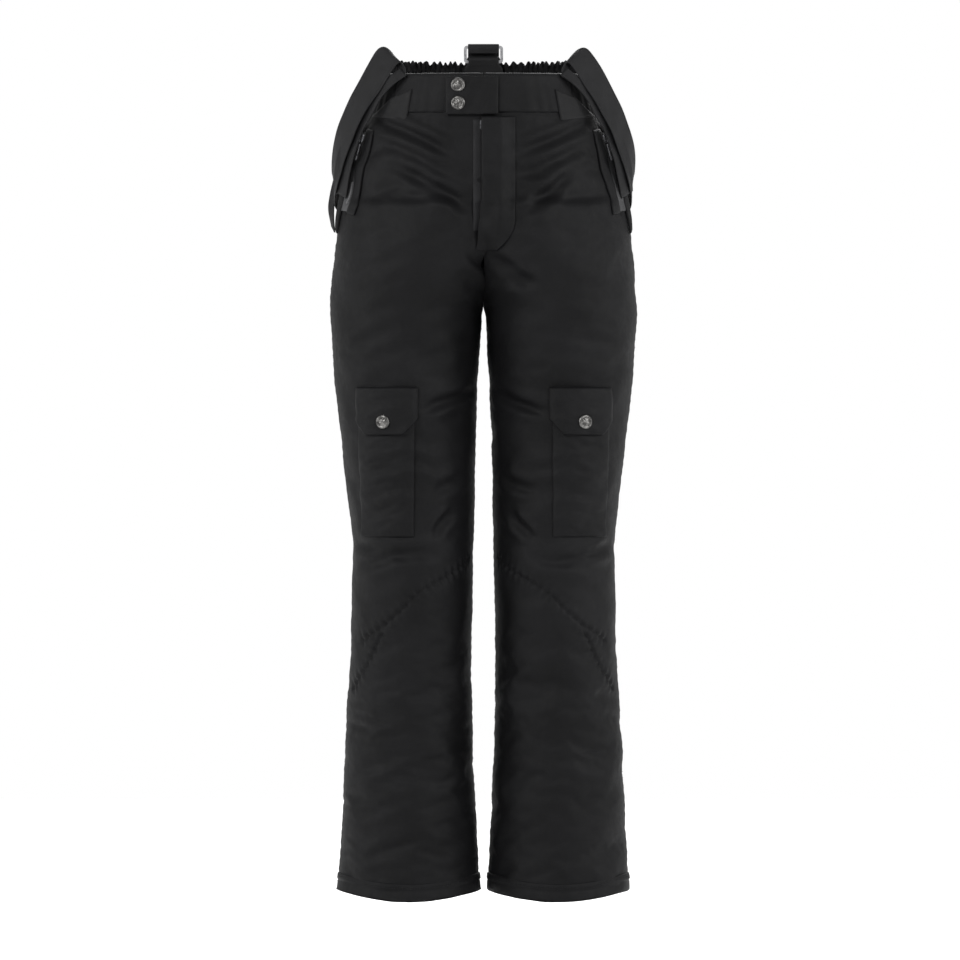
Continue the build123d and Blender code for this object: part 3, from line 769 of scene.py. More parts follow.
def cloth_half(side):
    """One half's outer cloth, simulated so that its spare length settles into wrinkles."""
    sign = SIDES[side]
    levels, points, outs = half_grid(side)
    points = press_folds(points, outs, FOLDS[side])
    flat = points.reshape(-1, 3)
    out = outs.reshape(-1, 3)
    seed = 11 if side == "left" else 23
    soft = waves(seed, flat * np.array([1, 1, 2.2]), 0.09, 2)
    small = waves(seed + 1, flat * np.array([1, 1, 3.0]), 0.035, 2)
    calm = smoothstep(-0.07, -0.13, flat[:, 2])
    shin = smoothstep(SHIN_TOP + 0.08, SHIN_TOP - 0.05, flat[:, 2])
    height = soft * 0.0022 + small * (0.0003 + 0.0006 * shin)
    share = SIDE_CALM + (1 - SIDE_CALM) * smoothstep(0.2, 0.75, np.abs(out[:, 1]))
    flat = flat + out * height[:, None] * calm[:, None] * share[:, None]
    columns = COLUMNS + 1
    faces = []
    for i in range(len(levels) - 1):
        for j in range(COLUMNS):
            a, b = i * columns + j, i * columns + j + 1
            ring = (a, a + columns, b + columns, b)
            faces.append(ring if sign > 0 else ring[::-1])
    obj = mesh_object(f"shell_{side}", flat, faces, SHELL)
    uv = obj.data.uv_layers.new(name="cloth")
    for loop in obj.data.loops:
        i, j = divmod(loop.vertex_index, columns)
        uv.data[loop.index].uv = (j / COLUMNS * CLOTH_GIRTH, -levels[i])
    with edited(obj) as edit:
        seam = [v for v in edit.verts if v.co.z < CROTCH - 0.002]
        bmesh.ops.remove_doubles(edit, verts=seam, dist=1e-5)
    obj.data.update()
    settle(obj, sign)
    modify(obj, "SUBSURF", levels=1, render_levels=1)
    return obj


CLOTH_FRAMES = 18
HIP_SPARE = -0.012          # a shrinkage: below 0, the cloth is that much longer than its space
LEG_SPARE = -0.040
CLOTH_CAP = 0.008           # no point moves further than this
SIDE_MOVE = 0.25            # share of the move left at the outseam and inseam
FLY_FIRM = 0.042            # the cloth is held out to here beside the fly
POCKET_FIRM = 0.016         # and this far either side of a pocket's zip
INSEAM_GAP = 0.0012         # half the least gap between the two legs


def settle(obj, sign):
    """Let the cloth buckle, held at the waist, the centre seam and the hem."""
    before = coordinates(obj)
    flatness = np.abs(normals(obj)[:, 1])
    held = obj.vertex_groups.new(name="held")
    spare = obj.vertex_groups.new(name="spare")
    x, y, z = np.abs(before[:, 0]), before[:, 1], before[:, 2]
    ends = (z > BAND_BOTTOM - 0.004) | (z < HEM_BOTTOM + 0.024)
    centre = (z > CROTCH - 0.004) & (x < 0.0025)
    fly = (x < FLY_FIRM) & (y < 0) & (z > FLY_BOTTOM)
    (x_top, z_top), (x_low, z_low) = POCKET_ZIP
    line = np.interp(z, [z_low, z_top], [x_low, x_top])
    pocket = (np.abs(x - line) < POCKET_FIRM) & (y < 0) & (z > z_low) & (z < z_top)
    firm = np.where(ends | centre | fly | pocket, 1.0, 0.0)
    loose = smoothstep(-0.24, -0.42, z)
    for index in range(len(before)):
        held.add([index], float(firm[index]), "REPLACE")
        spare.add([index], float(loose[index]), "REPLACE")
    modifier = obj.modifiers.new("cloth", "CLOTH")
    settings = modifier.settings
    settings.quality = 5
    settings.mass = 0.25
    settings.tension_stiffness = settings.compression_stiffness = 18
    settings.shear_stiffness = 8
    settings.bending_stiffness = 0.9
    settings.air_damping = 3
    settings.vertex_group_mass = "held"
    settings.pin_stiffness = 1
    settings.vertex_group_shrink = "spare"
    settings.shrink_min = HIP_SPARE
    settings.shrink_max = LEG_SPARE
    settings.use_pressure = True
    settings.uniform_pressure_force = 0.8
    settings.effector_weights.gravity = 0
    modifier.collision_settings.use_collision = False
    modifier.point_cache.frame_start = 1
    modifier.point_cache.frame_end = CLOTH_FRAMES
    for step in range(1, CLOTH_FRAMES + 1):
        bpy.context.scene.frame_set(step)
    apply_modifiers(obj)
    bpy.context.scene.frame_set(1)
    after = coordinates(obj)
    sides_calm = SIDE_MOVE + (1 - SIDE_MOVE) * smoothstep(0.2, 0.75, flatness)
    move = (after - before) * sides_calm[:, None]
    length = np.linalg.norm(move, axis=1, keepdims=True)
    move *= np.minimum(1.0, CLOTH_CAP / np.maximum(length, 1e-9))
    after = before + move
    inside = sign * after[:, 0] < INSEAM_GAP
    leg = before[:, 2] < CROTCH
    after[inside & leg, 0] = sign * INSEAM_GAP
    set_coordinates(obj, after)


def line_on(side, face, pairs):
    """A line on the front or back of one side, through (x, z) places in millimetres."""
    pairs = np.asarray(pairs, float) * MM
    return on_face(pairs[:, 0] * SIDES[side], pairs[:, 1], face)[0]


def upright(side, z_top, z_bottom, angle):
    """A line down one half at an angle that may change with the height."""
    z = np.linspace(z_top, z_bottom, 120)
    angles = angle(z) if callable(angle) else np.full_like(z, angle)
    return on_tube(SIDES[side], angles, z)[0]


SEAM_STEP = 0.002
SEAM_REACH = 0.02           # a seam moves no cloth further off than this
PUCKER_PITCH = 0.011
PUCKER_REACH = 0.008


def carve(obj, line, width, depth, pucker=0.0):
    """Sink a seam into the cloth along a line, with small puckers beside it."""
    places, _ = on_cloth(tree_of(obj), line, SEAM_STEP)
    tree = KDTree(len(places))
    for k, place in enumerate(places):
        tree.insert(place, k)
    tree.balance()
    co, out = coordinates(obj), normals(obj)
    move = np.zeros(len(co))
    for k, point in enumerate(co):
        _, index, distance = tree.find(point)
        if distance < SEAM_REACH:
            move[k] = -depth * math.exp(-(distance / width) ** 2)
            turn = index * SEAM_STEP * 6.283 / PUCKER_PITCH
            wave = math.sin(turn + 1.3 * math.sin(index * 0.05))
            move[k] += pucker * wave * math.exp(-(distance / PUCKER_REACH) ** 2)
    set_coordinates(obj, co + out * move[:, None])


KNEE_SEAMS = [
    [(19, -604), (46, -627), (83, -649), (103, -671), (126, -691), (152, -709)],
    [(124, -694), (146, -745), (163, -769)],
]
OUTSEAM_TOP = BAND_BOTTOM - 0.002
SEAM_WIDTH = 0.0022
SHELL_THICKNESS = 0.0024


def seams_of(side):
    """The lines of sewing on one half: (line, depth, pucker)."""
    lines = [(line_on(side, FRONT, seam), 0.0026, 0.0012) for seam in KNEE_SEAMS]
    lines.append((upright(side, OUTSEAM_TOP, HEM_TOP, seam_angle), 0.0014, 0.0003))
    lines.append((upright(side, CROTCH - 0.01, HEM_TOP, math.pi), 0.0014, 0.0003))
    lines.append((line_on(side, BACK, [(30, -640), (90, -632), (150, -640)]), 0.0018, 0.0009))
    lines.append((line_on(side, BACK, [(2, -118), (70, -104), (150, -96)]), 0.0016, 0.0007))
    return lines


def cut_shell(obj, side):
    """Split one half into hip and thigh cloth and shin cloth, each with a lining inside."""
    smooth = normals(obj)
    pieces = []
    for name, keep in (("shell_upper", lambda z: z >= SPLIT_Z), ("shell_lower", lambda z: z < SPLIT_Z)):
        piece = obj.copy()
        piece.data = obj.data.copy()
        link(piece)
        piece.name = f"{name}_{side}"
        kept = piece.data.attributes.new("smooth", "FLOAT_VECTOR", "POINT")
        kept.data.foreach_set("vector", smooth.ravel())
        with edited(piece) as edit:
            gone = [f for f in edit.faces if not keep(f.calc_center_median().z)]
            bmesh.ops.delete(edit, geom=gone, context="FACES")
        outer = len(piece.data.vertices)
        piece.data.materials.append(LINING)
        modify(piece, "SOLIDIFY", thickness=SHELL_THICKNESS, offset=-1, material_offset=1,
               use_even_offset=False)
        values = np.zeros(len(piece.data.vertices) * 3)
        piece.data.attributes["smooth"].data.foreach_get("vector", values)
        values = values.reshape(-1, 3)
        values[outer:] *= -1
        piece.data.normals_split_custom_set_from_vertices([tuple(v) for v in values])
        piece.data.attributes.remove(piece.data.attributes["smooth"])
        pieces.append(piece)
    bpy.data.objects.remove(obj)
    return pieces


shells = {side: cloth_half(side) for side in SIDES}
for side, shell in shells.items():
    carve(shell, line_on(side, FRONT, [(146, -70), (172, -174)]), 0.0045, 0.003)
    for line, depth, pucker in seams_of(side):
        carve(shell, line, SEAM_WIDTH, depth, pucker)
trees = {side: tree_of(shell) for side, shell in shells.items()}
both = tree_of(*shells.values())

UPPER = ("root", "thigh_{}", (0, 0, CROTCH), (0, 0, THIGH_TOP))
LOWER = ("thigh_{}", "shin_{}", (0, 0, THIGH_BOTTOM), (0, 0, SHIN_TOP))


def across_joint(joint, side):
    return tuple(value.format(side) if isinstance(value, str) else value for value in joint)


def body_bands(line):
    """A line's parts above and below the split between the two cloth pieces."""
    line = np.asarray(line)
    parts = []
    for joint, keep in ((UPPER, line[:, 2] >= SPLIT_Z), (LOWER, line[:, 2] < SPLIT_Z)):
        if keep.sum() > 3:
            parts.append((joint, line[keep]))
    return parts


# Seam stitches, beside each seam
for side in SIDES:
    rows = {UPPER: [], LOWER: []}
    for line, _, _ in seams_of(side):
        dense = np.stack([np.interp(np.linspace(0, 1, 160), np.linspace(0, 1, len(line)), line[:, k])
                          for k in range(3)], 1)
        for joint, part in body_bands(dense):
            rows[joint].append(part)
    for label, joint in (("upper", UPPER), ("lower", LOWER)):
        piece = sewn(f"seam_stitches_{label}_{side}", trees[side], rows[joint], aside=0.003)
        dress(piece, across_joint(joint, side), "shell")

for side in SIDES:
    cloths = zip(cut_shell(shells[side], side), (UPPER, LOWER), (UPPER_NODES, LOWER_NODES))
    for cloth, joint, nodes in cloths:
        dress(cloth, across_joint(joint, side), "shell", *[f"{n}_{side}" for n in nodes], fill=0.35)

# ---------------------------------------------------------------- waistband
BAND_INSIDE = -0.003
BAND_THICK = 0.005
CENTRE_GAP = 0.001


def band_front(side):
    """Where the front waistband's grid goes: from the middle to the side seam, top to bottom."""
    def place(u, v):
        z = v * BAND_BOTTOM
        start = face_angle(np.full_like(z, CENTRE_GAP), z, FRONT)
        return on_tube(SIDES[side], start + (seam_angle(z) - start) * u, z)
    return place


RUFFLE_RISE = 0.003


def band_back(u, v):
    """Where the gathered back goes: from one side seam round to the other, top to bottom."""
    side = np.where(u < 0.5, 1, -1)
    share = 1 - np.abs(2 * u - 1)
    top = (BACK_TOP + RUFFLE_RISE) * smoothstep(0.0, 0.16, share)
    z = top + v * (BAND_BOTTOM - top)
    middle = face_angle(np.zeros_like(z), z, BACK)
    angle = seam_angle(z) + (middle - seam_angle(z)) * share
    points, outs = on_tube(side, angle, z)
    ruffle = 0.0022 * np.sin(u * 290 + 2 * np.sin(u * 41)) + 0.001 * np.sin(u * 117)
    points[:, 2] += ruffle * smoothstep(0.25, 0.0, v)
    return points, outs


GATHERS = 44
ELASTIC_ROWS = (0.16, 0.36, 0.58, 0.8)


def gathered(u, v):
    """Gathers of a stretched elastic: upright folds pinched by rows of stitching."""
    phase = u * GATHERS * 2 * math.pi + 1.7 * np.sin(u * 37) + 0.9 * np.sin(v * 9 + u * 60)
    folds = 0.0021 * np.sin(phase) + 0.0008 * np.sin(phase * 2.3 + v * 7)
    pinch = np.ones_like(v)
    for row in ELASTIC_ROWS:
        pinch -= 0.7 * np.exp(-((v - row) / 0.035) ** 2)
    return folds * pinch - 0.001 * (1 - pinch)


def band_relief(u, v):
    """The front band: gentle puckers over its lower seam and a rolled top."""
    puckers = 0.0004 * np.sin(u * 60 + np.sin(u * 17) * 2) * (0.4 + v)
    seam = -0.0012 * np.exp(-((u - 0.60) / 0.006) ** 2)
    return puckers + seam


for side in SIDES:
    band = slab(f"waistband_front_{side}", band_front(side), (90, 16), BAND_THICK, BAND,
                lift=BAND_INSIDE, relief=band_relief, margins=(0.01, 0.05))
    dress(band, "root", "shell", f"waistband_front_{side}", fill=0.3)
# The back band's darker colour is painted shade for the inside of the back waistband.
back_band = slab("waistband_back", band_back, (380, 26), BAND_THICK, ELASTIC_PAINTED_SHADE,
                 lift=BAND_INSIDE, relief=gathered, margins=(0.004, 0.04))
dress(back_band, "root", "waist_elastic", "waistband_back", fill=0.3)
band_tree = tree_of(back_band, *[bpy.data.objects[f"waistband_front_{side}"] for side in SIDES])

rows = []
for side in SIDES:
    for height in (-0.004, -0.046):
        share = np.linspace(0.03, 0.98, 60)
        rows.append(band_front(side)(share, np.full_like(share, height / BAND_BOTTOM))[0])
rows += [
    band_back(np.linspace(0.01, 0.99, 200), np.full(200, row))[0] for row in ELASTIC_ROWS
]
dress(sewn("waistband_stitches", band_tree, rows), "root", "shell")


def flat_patch(corners):
    """A four-cornered patch on the front, corners (x, z) in mm: top left, top right,
    bottom right, bottom left, seen from the front on the wearer's left."""
    corners = np.asarray(corners, float) * MM

    def place(u, v):
        top = corners[0] + (corners[1] - corners[0]) * u[:, None]
        low = corners[3] + (corners[2] - corners[3]) * u[:, None]
        spot = top + (low - top) * v[:, None]
        return on_face(spot[:, 0], spot[:, 1], FRONT)
    return place


def outline_stitches(name, tree, place, inset, sides="tblr"):
    """Stitches a little inside a piece's edges: top, bottom, left and right."""
    run = np.linspace(inset[0], 1 - inset[0], 60)
    fall = np.linspace(inset[1], 1 - inset[1], 60)
    lines = {
        "t": (run, np.full(60, inset[1])),
        "b": (run, np.full(60, 1 - inset[1])),
        "l": (np.full(60, inset[0]), fall),
        "r": (np.full(60, 1 - inset[0]), fall),
    }
    return sewn(name, tree, [place(*lines[key])[0] for key in sides])


# ---------------------------------------------------------------- waist tab and snaps
def rope_rim(radius, angle):
    """A generic pressed pattern: a milled rim and a ring of petals."""
    rim = 0.00022 * math.cos(26 * angle) * math.exp(-((radius - 0.0066) / 0.0007) ** 2)
    petals = 0.0003 * math.cos(6 * angle) * math.exp(-((radius - 0.0032) / 0.0013) ** 2)
    return rim + petals


SNAP_PROFILE = [
    (0.0002, 0.0021), (0.0012, 0.0021), (0.0022, 0.0019), (0.0030, 0.0017), (0.0038, 0.0015),
    (0.0046, 0.0012), (0.0052, 0.0012), (0.0058, 0.0018), (0.0066, 0.0023), (0.0074, 0.0022),
    (0.0082, 0.0016), (0.0088, 0.0008), (0.0090, 0.0), (0.0070, -0.0006), (0.0050, -0.0012),
    (0.0048, -0.0022), (0.0002, -0.0022),
]


STUD_PROFILE = [
    (0.0002, 0.0012), (0.0025, 0.0012), (0.0030, 0.0008), (0.0032, 0.0002), (0.0055, 0.0002),
    (0.0060, -0.0004), (0.0058, -0.0008), (0.0002, -0.0008),
]


def snap_on(name, tree, x, z, profile=SNAP_PROFILE, relief=rope_rim):
    """A press stud's cap or post sitting on what lies at one place of the front."""
    points, outs = on_face([x], [z], FRONT)
    point, out = Vector(points[0]), Vector(outs[0])
    hit, facing, _, _ = tree.ray_cast(point + out * DRAPE_REACH, -out)
    if facing.dot(out) < 0:
        facing = -facing
    facing = (facing + out * 2).normalized()
    return lathe(name, hit + facing * 0.0002, facing, profile, SNAP, relief)


WAIST_SNAP_X = -0.0306
WAIST_SNAP_HEIGHTS = (-0.015, -0.0375)
tab_place = flat_patch([(-46, -4), (18, -4), (18, -52), (-46, -52)])


def tab_relief(u, v):
    """The tab lies close at its sewn end and bellies a little between its snaps."""
    return 0.0009 * np.sin(np.pi * v) * (1 - u) + 0.0003 * np.sin(u * 23 + v * 9)


tab = slab("waist_tab", tab_place, (36, 26), 0.0018, BAND, lift=0.0046, relief=tab_relief,
           margins=(0.035, 0.045))
dress(tab, "waist_tab", "shell", "waist_tab", fill=0.15)
tab_tree = tree_of(tab)
tab_sewing = outline_stitches("waist_tab_stitches", tab_tree, tab_place, (0.06, 0.08), "tblr")
dress(tab_sewing, "waist_tab", "shell")
snaps = [snap_on(f"waist_snap_{k}", tab_tree, WAIST_SNAP_X, z) for k, z in enumerate(WAIST_SNAP_HEIGHTS)]
dress(joined("waist_tab_snaps_detailed", snaps), "waist_tab", "snap_metal", "waist_tab_snaps")

# ---------------------------------------------------------------- fly
FLY_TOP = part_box("fly_flap")[1].z
FLY_FREE, FLY_HINGE = -0.003, 0.040
J_START = -0.175


def fly_place(u, v):
    """The fly flap: straight free edge, curving in to a J at its bottom."""
    z = FLY_TOP + v * (FLY_BOTTOM - FLY_TOP)
    drop = np.clip((J_START - z) / (J_START - FLY_BOTTOM), 0, 1)
    hinge = FLY_FREE + (FLY_HINGE - FLY_FREE) * (1 - 0.5 * drop ** 2.6)
    x = FLY_FREE + (hinge - FLY_FREE) * u
    return on_face(np.maximum(x, 0.0002), z, FRONT)[0] + np.stack(
        [np.minimum(x, 0) - 0.0002 * (x < 0), 0 * x, 0 * x], 1
    ), on_face(np.full_like(x, 0.004), z, FRONT)[1]


def fly_relief(u, v):
    """Raised over the zip, and close to the cloth along its sewn edge and bottom."""
    belly = 0.0072 * smoothstep(1.0, 0.55, u) * smoothstep(1.0, 0.86, v)
    return belly + 0.0004 * np.sin(v * 31 + u * 3) + 0.0003 * np.sin(v * 13 - u * 11)


fly = slab("fly_flap", fly_place, (26, 70), 0.0020, SHELL, lift=0.0008, on=both,
           relief=fly_relief, margins=(0.04, 0.012))
dress(fly, "fly_flap", "shell", "fly_flap", fill=0.15)
fly_tree = tree_of(fly)
for name, inset, edges in (("stitches", (0.10, 0.02), "br"), ("edge_stitches", (0.05, 0.01), "l")):
    sewing = outline_stitches(f"fly_flap_{name}", fly_tree, fly_place, inset, edges)
    dress(sewing, "fly_flap", "shell")


def strip_place(start, end, width):
    """A straight strip on the wearer's left front between two places, in metres."""
    start, end = np.array(start), np.array(end)

    def place(u, v):
        spot = start + (end - start) * v[:, None]
        across = np.array([end[1] - start[1], start[0] - end[0]])
        across = -across / np.linalg.norm(across)
        spot = spot + across * ((u - 0.5) * width)[:, None]
        return on_face(spot[:, 0], spot[:, 1], FRONT)
    return place


TOOTH_PITCH = 0.0022


def zip_teeth(name, tree, line):
    """Moulded teeth, closed, in two interlocked rows along a line."""
    places, outs = on_cloth(tree, line, TOOTH_PITCH / 2)
    along = np.gradient(places, axis=0)
    along /= np.linalg.norm(along, axis=1, keepdims=True)
    across = np.cross(along, outs)
    side = np.where(np.arange(len(places)) % 2, 1, -1)[:, None]
    middle = places + across * side * 0.0008 + outs * 0.0008
    corners = []
    for a, b, c in ((-1, -1, -1), (1, -1, -1), (1, 1, -1), (-1, 1, -1),
                    (-0.7, -0.8, 1), (0.7, -0.8, 1), (0.7, 0.8, 1), (-0.7, 0.8, 1)):
        corners.append(middle + along * a * 0.0005 + across * b * 0.0014 + outs * c * 0.0008)
    verts = np.stack(corners, 1).reshape(-1, 3)
    box = [(0, 3, 2, 1), (4, 5, 6, 7), (0, 1, 5, 4), (1, 2, 6, 5), (2, 3, 7, 6), (3, 0, 4, 7)]
    faces = [tuple(8 * k + c for c in face) for k in range(len(places)) for face in box]
    return clean(mesh_object(name, verts, faces, TEETH, smooth=False))


fly_low, fly_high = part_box("fly_zip_tapes")
fly_line = on_face(np.full(40, 0.0003), np.linspace(fly_high.z, fly_low.z, 40), FRONT)[0]
tapes = [
    slab(f"fly_tape_{k}", strip_place((x, fly_high.z), (x, fly_low.z), 0.011), (4, 40), 0.0008, TAPE,
         lift=0.0002)
    for k, x in enumerate((-0.0075, 0.0075))
]
dress(joined("fly_zip_tape_pair", tapes), "root", "zip_tape", "fly_zip_tapes")
centre = np.stack([0 * fly_line[:, 0], fly_line[:, 1], fly_line[:, 2]], 1)
fly_teeth = zip_teeth("fly_zip_teeth_rows", tree_of(NODES["fly_zip_teeth"]), centre - [0, 0.01, 0])
dress(fly_teeth, "root", "zip_teeth", "fly_zip_teeth")
shield = slab("fly_shield_cloth", strip_place((0.012, -0.056), (0.012, -0.206), 0.028), (10, 40),
              0.0018, LINING, lift=-0.0058)
dress(shield, "root", "lining", "fly_shield")

# ---------------------------------------------------------------- hand pockets
for side in SIDES:
    sign = SIDES[side]

    def mirrored(place):
        """A place made for the wearer's left, on this side."""
        def flipped(u, v):
            points, outs = place(u, v)
            return points * [sign, 1, 1], outs * [sign, 1, 1]
        return flipped

    (x_top, z_top), (x_low, z_low) = POCKET_ZIP
    tree = trees[side]
    inner = mirrored(strip_place((x_top - 0.0072, z_top + 0.004), (x_low - 0.0062, z_low - 0.004), 0.010))
    lip = slab(f"pocket_lip_{side}", inner, (8, 50), 0.0022, SHELL, lift=0.0006, on=tree)
    tape = mirrored(strip_place((x_top, z_top), (x_low, z_low), 0.009))
    pocket_tape = slab(f"pocket_tape_{side}", tape, (6, 50), 0.0007, POCKET_TAPE, lift=0.0016, on=tree)

    def welt(u, v):
        """The side of the pocket opening: a folded strip, wide above and tapering away."""
        z = -0.060 - 0.140 * v
        x_in = np.interp(z, [-0.200, z_low, z_top, -0.060], [0.1775, 0.1725, 0.1475, 0.142])
        width = np.interp(v, [0, 0.3, 0.75, 1], [0.014, 0.020, 0.014, 0.003])
        start = face_angle(x_in + 0.004, z, FRONT)
        return on_tube(sign, start + u * width / sections(z)[1], z)

    welt_piece = slab(
        f"pocket_welt_{side}", welt, (12, 70), 0.0024, TRIM, lift=0.0006, on=tree,
        relief=lambda u, v: 0.0045 * np.sin(np.pi * u) * np.sin(np.pi * v) ** 0.5,
    )
    line = line_on(side, FRONT, [(x_top / MM, z_top / MM), (x_low / MM, z_low / MM)])
    teeth = zip_teeth(f"pocket_teeth_{side}", tree_of(pocket_tape), line)
    dress(lip, "root", "shell")
    dress(welt_piece, "root", "tab_fabric")
    dress(pocket_tape, "root", "zip_tape", f"hand_pocket_tape_{side}")
    dress(teeth, "root", "zip_teeth", f"hand_pocket_teeth_{side}")
    dress(sewn(f"pocket_lip_stitches_{side}", tree_of(lip, welt_piece),
               [inner(np.full(60, 0.3), np.linspace(0.02, 0.98, 60))[0],
                welt(np.full(60, 0.35), np.linspace(0.02, 0.9, 60))[0]]), "root", "shell")
    bag_low, bag_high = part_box("hand_pocket_bag_left")

    def bag_place(u, v):
        z = bag_high.z - 0.002 + v * (bag_low.z - bag_high.z + 0.004)
        x = 0.096 + 0.066 * u
        return on_face(sign * x, z, FRONT)

    bag = slab(f"pocket_bag_{side}", bag_place, (20, 34), 0.004, LINING, lift=-0.0105,
               relief=lambda u, v: 0.0006 * np.sin(u * 17 + v * 11))
    dress(bag, "root", "lining", f"hand_pocket_bag_{side}", fill=0.1)

# ---------------------------------------------------------------- braces
# Each pair is the front edge and the back edge of the webbing, on the wearer's left, in mm.
STRAP = [
    ((98, -66, -6), (112, -50, 14)), ((98, -64, 6), (117, -40, 29)), ((107, -62, 12), (132, -34, 30)),
    ((128, -57, -19), (154, -28, -6)), ((151, -51, -55), (175, -18, -48)),
    ((170, -41, -99), (187, -2, -86)), ((182, -22, -140), (190, 20, -118)),
    ((184, 20, -166), (187, 34, -126)), ((174, 64, -172), (178, 66, -132)),
    ((140, 108, -160), (146, 110, -120)), ((88, 140, -132), (92, 142, -92)),
    ((42, 149, -108), (42, 149, -68)), ((20, 150, -100), (20, 150, -60)),
]
# The webbing's inner layer, doubled back on the strap from the waistband's top edge.
INNER_LAYER = [
    ((96, -67, -3), (104, -61, 6)), ((112, -64, -14), (121, -56, -6)), ((127, -58, -30), (137, -48, -22)),
    ((139, -54, -52), (153, -41, -44)), ((151.5, -48, -74), (168, -32, -66)),
    ((160, -44, -100), (179, -24, -92)), ((167, -38, -128), (185, -16, -118)),
    ((173, -28, -156), (187, -4, -146)),
]
LOOSE_END = [
    ((185, 34, -150), (188, 52, -132)), ((187, 26, -166), (192, 46, -150)),
    ((187, 18, -184), (194, 38, -168)), ((186, 16, -198), (190, 30, -190)),
]
BACK_STRAP = [
    ((-19.5, 97, 16), (19.5, 97, 16)), ((-19.5, 98.4, 34), (19.5, 98.4, 34)),
    ((-19.5, 95, 38.4), (19.5, 95, 38.4)), ((-19.5, 91.4, 35), (19.5, 91.4, 35)),
    ((-19.5, 91, 27), (19.5, 91, 27)),
]
BACK_FALL = [
    ((-19.5, 98.5, 36), (19.5, 98.5, 36)), ((-19.5, 108, 22), (19.5, 108, 22)),
    ((-19.5, 114, -14), (19.5, 114, -14)), ((-19.5, 121, -52), (19.5, 121, -52)),
    ((-19.5, 133, -78), (19.5, 133, -78)), ((-19.5, 144, -100), (19.5, 144, -100)),
]
WEB = 0.0017


def pairs_for(side, pairs):
    return np.asarray(pairs, float) * MM * [SIDES[side], 1, 1]


def edge_lines(edges, share):
    """Lines along a ribbon, at two shares of its width."""
    first, second = curve_through(edges[:, 0], 8), curve_through(edges[:, 1], 8)
    return [first + (second - first) * k for k in share]


anchor_outline = [(88, -20), (113, -31), (137, -54), (95, -60)]
for side in SIDES:
    edges = pairs_for(side, STRAP)
    strap = ribbon(f"brace_strap_{side}", edges, WEB, WEBBING, across=14, ripple=0.0012, seed=31)
    dress(strap, f"brace_{side}", "webbing", f"brace_strap_{side}")
    inner_layer = ribbon(f"brace_inner_layer_{side}", pairs_for(side, INNER_LAYER), WEB, WEBBING,
                         across=8, ripple=0.0008, seed=37)
    dress(inner_layer, f"brace_{side}", "webbing")
    strap_tree = tree_of(strap)
    dress(sewn(f"brace_stitches_{side}", strap_tree, edge_lines(edges, (0.08, 0.92))),
          f"brace_{side}", "webbing")
    place = flat_patch(np.array(anchor_outline) * [SIDES[side], 1])
    anchor = slab(f"brace_anchor_{side}", place, (22, 22), 0.0022, TRIM, lift=0.0004, on=band_tree,
                  margins=(0.05, 0.05))
    dress(anchor, "root", "tab_fabric", f"brace_anchor_{side}", fill=0.1)
    dress(outline_stitches(f"brace_anchor_stitches_{side}", tree_of(anchor), place, (0.08, 0.09)),
          "root", "tab_fabric")
loose = ribbon("brace_loose_end_right", pairs_for("right", LOOSE_END), WEB, WEBBING, across=8)
dress(loose, "brace_right", "webbing")

# The fold over the ring, the strap down the back, and the yoke where the braces meet it
fold = ribbon("brace_back_fold", np.asarray(BACK_STRAP) * MM, WEB, WEBBING, across=12)
fall = ribbon("brace_back_fall", np.asarray(BACK_FALL) * MM, WEB, WEBBING, across=12, ripple=0.001)
dress(joined("brace_back_strap_webbing", [fold, fall]), "root", "webbing", "brace_back_strap")


def yoke_place(u, v):
    """A three-sided yoke behind the back, wider at its top where the braces leave it."""
    half = 0.020 + 0.012 * np.sin(np.pi * v)
    x = (2 * u - 1) * half
    z = -0.052 - 0.056 * v
    y = np.interp(z, [-0.108, -0.1, -0.078, -0.052], [0.151, 0.1515, 0.1515, 0.147]) - 4.0 * x * x
    return np.stack([x, y, z], 1), np.tile([0.0, 1.0, 0.0], (len(u), 1))


yoke = slab("brace_yoke", yoke_place, (20, 24), 0.0022, TRIM, lift=0.001)
dress(yoke, "root", "tab_fabric")


def yoke_face(u, v):
    """Places just behind the yoke, for its stitches."""
    return yoke_place(u, v)[0] + [0, 0.003, 0], 0


dress(outline_stitches("brace_yoke_stitches", tree_of(yoke), yoke_face, (0.1, 0.1)),
      "root", "tab_fabric")

# The folded tab inside the back waistband that holds the ring
TAB_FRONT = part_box("brace_ring")[0].y - 0.0022


def ring_tab(u, v):
    """Up the inside of the waistband, over the ring's lower bar and down behind it."""
    run = v * 0.072
    up = 0.055
    half = 0.0245 - 0.0055 * smoothstep(0.042, 0.052, run) * smoothstep(0.075, 0.055, run)
    turn = np.clip((run - up) / 0.009, 0, 1) * np.pi
    z = np.where(run < up, -0.036 + run, 0.019 + 0.0030 * np.sin(turn) - np.maximum(run - 0.064, 0))
    y = TAB_FRONT + 0.0033 * (1 - np.cos(turn))
    outs = np.stack([0 * u, -np.cos(turn), np.sin(turn)], 1)
    return np.stack([(2 * u - 1) * half, y, z], 1), outs


ring_tab_piece = slab("brace_ring_tab", ring_tab, (24, 60), 0.0014, TRIM, margins=(0.04, 0.01))
dress(ring_tab_piece, "root", "tab_fabric", "brace_back_tab", fill=0.1)
tab_rows = [
    np.stack([np.linspace(-0.021, 0.021, 30), np.full(30, TAB_FRONT - 0.0014), np.full(30, z)], 1)
    for z in (-0.004, -0.007, 0.012)
]
dress(sewn("brace_ring_tab_stitches", tree_of(ring_tab_piece), tab_rows), "root", "tab_fabric")

